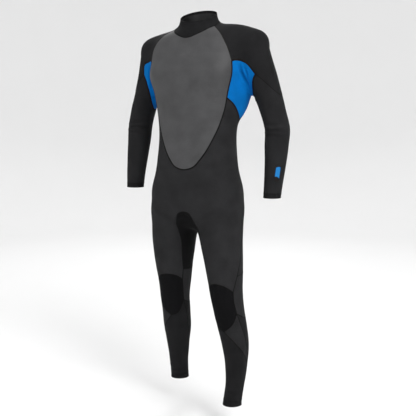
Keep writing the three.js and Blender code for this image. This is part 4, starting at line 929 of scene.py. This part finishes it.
def loft(rings):
    """Closed solid through rings of equal count, fanned shut at both ends, turned to face outwards."""
    rings = np.asarray(rings, float)
    n, m = rings.shape[:2]
    k = np.arange(m)
    faces = np.concatenate([
        triangles_of(n, m, wrap=True),
        np.stack([np.full(m, n * m), (k + 1) % m, k], 1),
        np.stack([np.full(m, n * m + 1), (n - 1) * m + k, (n - 1) * m + (k + 1) % m], 1),
    ])
    p = np.concatenate([rings.reshape(-1, 3), rings[0].mean(0)[None], rings[-1].mean(0)[None]])
    volume = (p[faces[:, 0]] * np.cross(p[faces[:, 1]], p[faces[:, 2]])).sum()
    return p, faces if volume > 0 else faces[:, [0, 2, 1]]


def rounded(x0, x1, y0, y1, z, inset, corners=2, count=12):
    """A ring: the superellipse |x|^4+|y|^4=1 fitted to a rectangle less an inset."""
    a = np.linspace(0, 2 * math.pi, count, endpoint=False) + math.pi / count
    c, s = np.cos(a), np.sin(a)
    x = (x0 + x1) / 2 + ((x1 - x0) / 2 - inset) * np.sign(c) * np.abs(c) ** (1 / corners)
    y = (y0 + y1) / 2 + ((y1 - y0) / 2 - inset) * np.sign(s) * np.abs(s) ** (1 / corners)
    return np.stack([x, y, 0 * x + z], -1)


PITCH, TEETH_FOOT, TEETH_HEAD = 2.7, 9, ZIP_LENGTH - 5
for side, hand in SIDES:
    near_x, far_x = sorted((side * 0.6, side * TAPE_OUT))
    steps = np.concatenate([[0, 0.3], np.linspace(1, ZIP_LENGTH - 1, 94), [ZIP_LENGTH - 0.3, ZIP_LENGTH]])
    body, faces = loft([rounded(near_x, far_x, -1, 0, z, 0.12 if z in (0, ZIP_LENGTH) else 0.0, 4, 24) for z in steps])
    tape = zip_run(f"{hand}_zip_tape", body, faces, TAPE, np.zeros(1))
    finished(tape, [f"zip_tape_{hand}"], sheet=False)
    low_x, high_x = sorted((side * 0.6, side * 2.8))
    tooth, faces = loft([rounded(low_x, high_x, 0.35, 2.55, z, inset) for z, inset in
                         ((0, 0.3), (0.3, 0), (1.4, 0), (1.7, 0.3))])
    offset = 0 if side > 0 else PITCH / 2
    spots = np.arange(TEETH_FOOT + 0.1 + offset, TEETH_HEAD - 1.8, PITCH)
    teeth = zip_run(f"{hand}_zip_teeth", tooth, faces, PLASTIC, spots)
    finished(teeth, [f"zip_teeth_{hand}"], sheet=False)

for node in ("zip_slider", "zip_pull_tab", "zip_top_stop_left", "zip_top_stop_right", "zip_bottom_stop"):
    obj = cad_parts[node]
    obj.data.materials.clear()
    obj.data.materials.append(METAL)
    weld = obj.modifiers.new("joined_edges", "WELD")
    weld.merge_threshold = 0.00001
    eased = obj.modifiers.new("eased_edges", "BEVEL")
    eased.width, eased.segments, eased.limit_method, eased.angle_limit = 0.00022, 2, "ANGLE", math.radians(50)

flap_u, flap_v = np.linspace(0, 1, 65)[None, :], np.linspace(0, 1, 121)[:, None]
flap_start = np.stack(np.broadcast_arrays(33 * (1 - 2 * flap_u), 10.0, ZIP_FOOT + ZIP_LENGTH * flap_v), -1)
flap_deep = zip_depth + 1 + 1.6 + 2 * 0.35 + 0.3 - np.min(zip_dips)
t = np.clip(flap_u / 0.22, 0, 1)
flap_lift = -(3.7 + (flap_deep - 3.7) * t * t * (3 - 2 * t)) + 0 * flap_v
finished(shell("zip_seal_flap", [emerge(flap_start, [0, 1, 0])], 1.5, COLLAR, [flap_lift], 0, folds=False),
         ["zip_flap"])
garage_head = min(L["at_zip"][2], neck_middle[2]) - 2
g_u, g_v = np.linspace(-1, 1, 17)[None, :], np.linspace(0, 1, 33)[:, None]
garage_start = np.stack(np.broadcast_arrays(-8.6 * g_u, 10.0, ZIP_HEAD + 3 + (garage_head - ZIP_HEAD - 3) * g_v), -1)
finished(shell("zip_top_panel", [emerge(garage_start, [0, 1, 0])], 3, COLLAR, 0.0, 0), ["zip_garage"])

# ---------------------------------------------------------------- seam strips
def strips(name, paths, width, height, material, body="suit", span=None, lift=crumple):
    piece = sweep(name, paths, tape_profile(width, height), material, lift=lift)
    return finished(piece, [], body, span, sheet=False)


chest_line = joined(R["chest_side"], chest_bottom, turned(L["chest_side"]))
strips("chest_binding", [chest_line], 5, 0.7, BINDING)
strips("collar_seam", [neck_ring], 5, 0.7, BINDING)
strips("raglan_seams", [s[k] for s in (L, R) for k in ("raglan_front", "raglan_back")], 2.4, 0.55, RAGLAN_TAPE_WITH_HIGHLIGHT)
strips("blue_panel_edges", [s[k] for s in (L, R) for k in ("underarm_front", "underarm_back", "sleeve_in")]
       + [s[k] for s in (L, R) for k in ("armhole_front", "armhole_back")], 6, 0.7, EDGE)
strips("sleeve_head_seams", [s["sleeve_out"] for s in (L, R)], 3, 0.5, SEAM)
strips("body_seams", [side_seam(s) for s in (L, R)] + [joined(L["waist_back"], waist_middle, turned(R["waist_back"]))]
       + [crotch_front, crotch_back], 3.5, 0.6, SEAM)
strips("zip_edge_seams", [s["zip_edge"] for s in (L, R)], 3, 0.6, SEAM)
for side, hand in SIDES:
    s, lower = S[side], f"lower_leg_{hand}"
    strips(f"{hand}_leg_seams", [s[k] for k in (
        "thigh_out", "thigh_in", "thigh_back_in", "knee_back_top", "inner_end", "knee_back_low", "calf_edge",
        "shin_edge", "calf_side", "shin_in")], 3.5, 0.6, SEAM, body=lower, span=KNEE_SPAN)
    pad_line = joined(s["pad_top"], s["pad_in"], turned(s["pad_low_in"]), turned(s["pad_low_out"]), turned(s["pad_out"]))
    strips(f"{hand}_knee_pad_seam", [pad_line], 4.2, 1.1, BINDING, body=lower, span=KNEE_SPAN)
    strips(f"{hand}_sleeve_seam", [sleeve_line[side]], 3, 0.5, SEAM, body=f"forearm_{hand}", span=ELBOW_SPAN)
    strips(f"{hand}_wrist_seam", [wrist_ring[side]], 2.4, 0.8, BINDING, body=f"forearm_{hand}")
    strips(f"{hand}_ankle_seam", [joined(s["ankle_front"], turned(s["ankle_back"]))], 2.4, 0.8, BINDING, body=lower)

# ---------------------------------------------------------------- floor, light and camera
def plain(name, code, roughness):
    f = Finish(name)
    return f.surface(f.blend(f.speckle(0.4), shade(code, 0.995), shade(code, 1.005)), roughness)


radius, turn = np.meshgrid(np.linspace(0.001, 9, 61), np.linspace(0, 2 * math.pi, 97), indexing="ij")
floor_x, floor_y = radius * np.sin(turn), radius * np.cos(turn)
floor_z = -1.478 + np.clip(radius - 4.4, 0, None) ** 2 / 2.2  # flat, then curving up all round
floor_points = np.stack([floor_x, floor_y, floor_z], -1).reshape(-1, 3)
floor_faces = triangles_of(*floor_x.shape)
floor = made_mesh("studio_floor", floor_points, floor_faces, floor_points[floor_faces][..., :2],
                  plain("studio_floor_paint", (236, 236, 236), 0.9), 80)


def lamp(name, place, aim, size, power):
    light = bpy.data.lights.new(name, "AREA")
    light.shape, light.size, light.energy = "DISK", size, power
    obj = bpy.data.objects.new(name, light)
    obj.location = place
    obj.rotation_euler = (Vector(aim) - Vector(place)).to_track_quat("-Z", "Y").to_euler()
    bpy.context.scene.collection.objects.link(obj)


lamp("key", (3.0, -2.2, 2.0), (0, 0, -0.5), 1.8, 120)
lamp("fill", (-2.6, -2.8, 0.8), (0, 0, -0.7), 2.6, 22)
lamp("back", (-1.5, 3.2, 2.0), (0, 0, -0.6), 2.4, 55)
world = bpy.data.worlds.new("studio_air")
world.use_nodes = True
air = world.node_tree.nodes["Background"]
air.inputs["Color"].default_value = (1, 1, 1, 1)
air.inputs["Strength"].default_value = 0.9
bpy.context.scene.world = world
bpy.context.scene.view_settings.view_transform = "Standard"

lens = bpy.data.cameras.new("camera")
lens.lens, lens.sensor_width = 79.05, 36
lens.shift_x, lens.shift_y = 0.0276, 0.0084
camera = bpy.data.objects.new("camera", lens)
TARGET, AZIMUTH, ELEVATION, AWAY = Vector((0, -0.018, -0.678)), math.radians(26), math.radians(8), 3.5
camera.location = TARGET + AWAY * Vector((
    math.cos(ELEVATION) * math.sin(AZIMUTH), -math.cos(ELEVATION) * math.cos(AZIMUTH), math.sin(ELEVATION)))
camera.rotation_euler = (TARGET - camera.location).to_track_quat("-Z", "Y").to_euler()
bpy.context.scene.collection.objects.link(camera)
bpy.context.scene.camera = camera
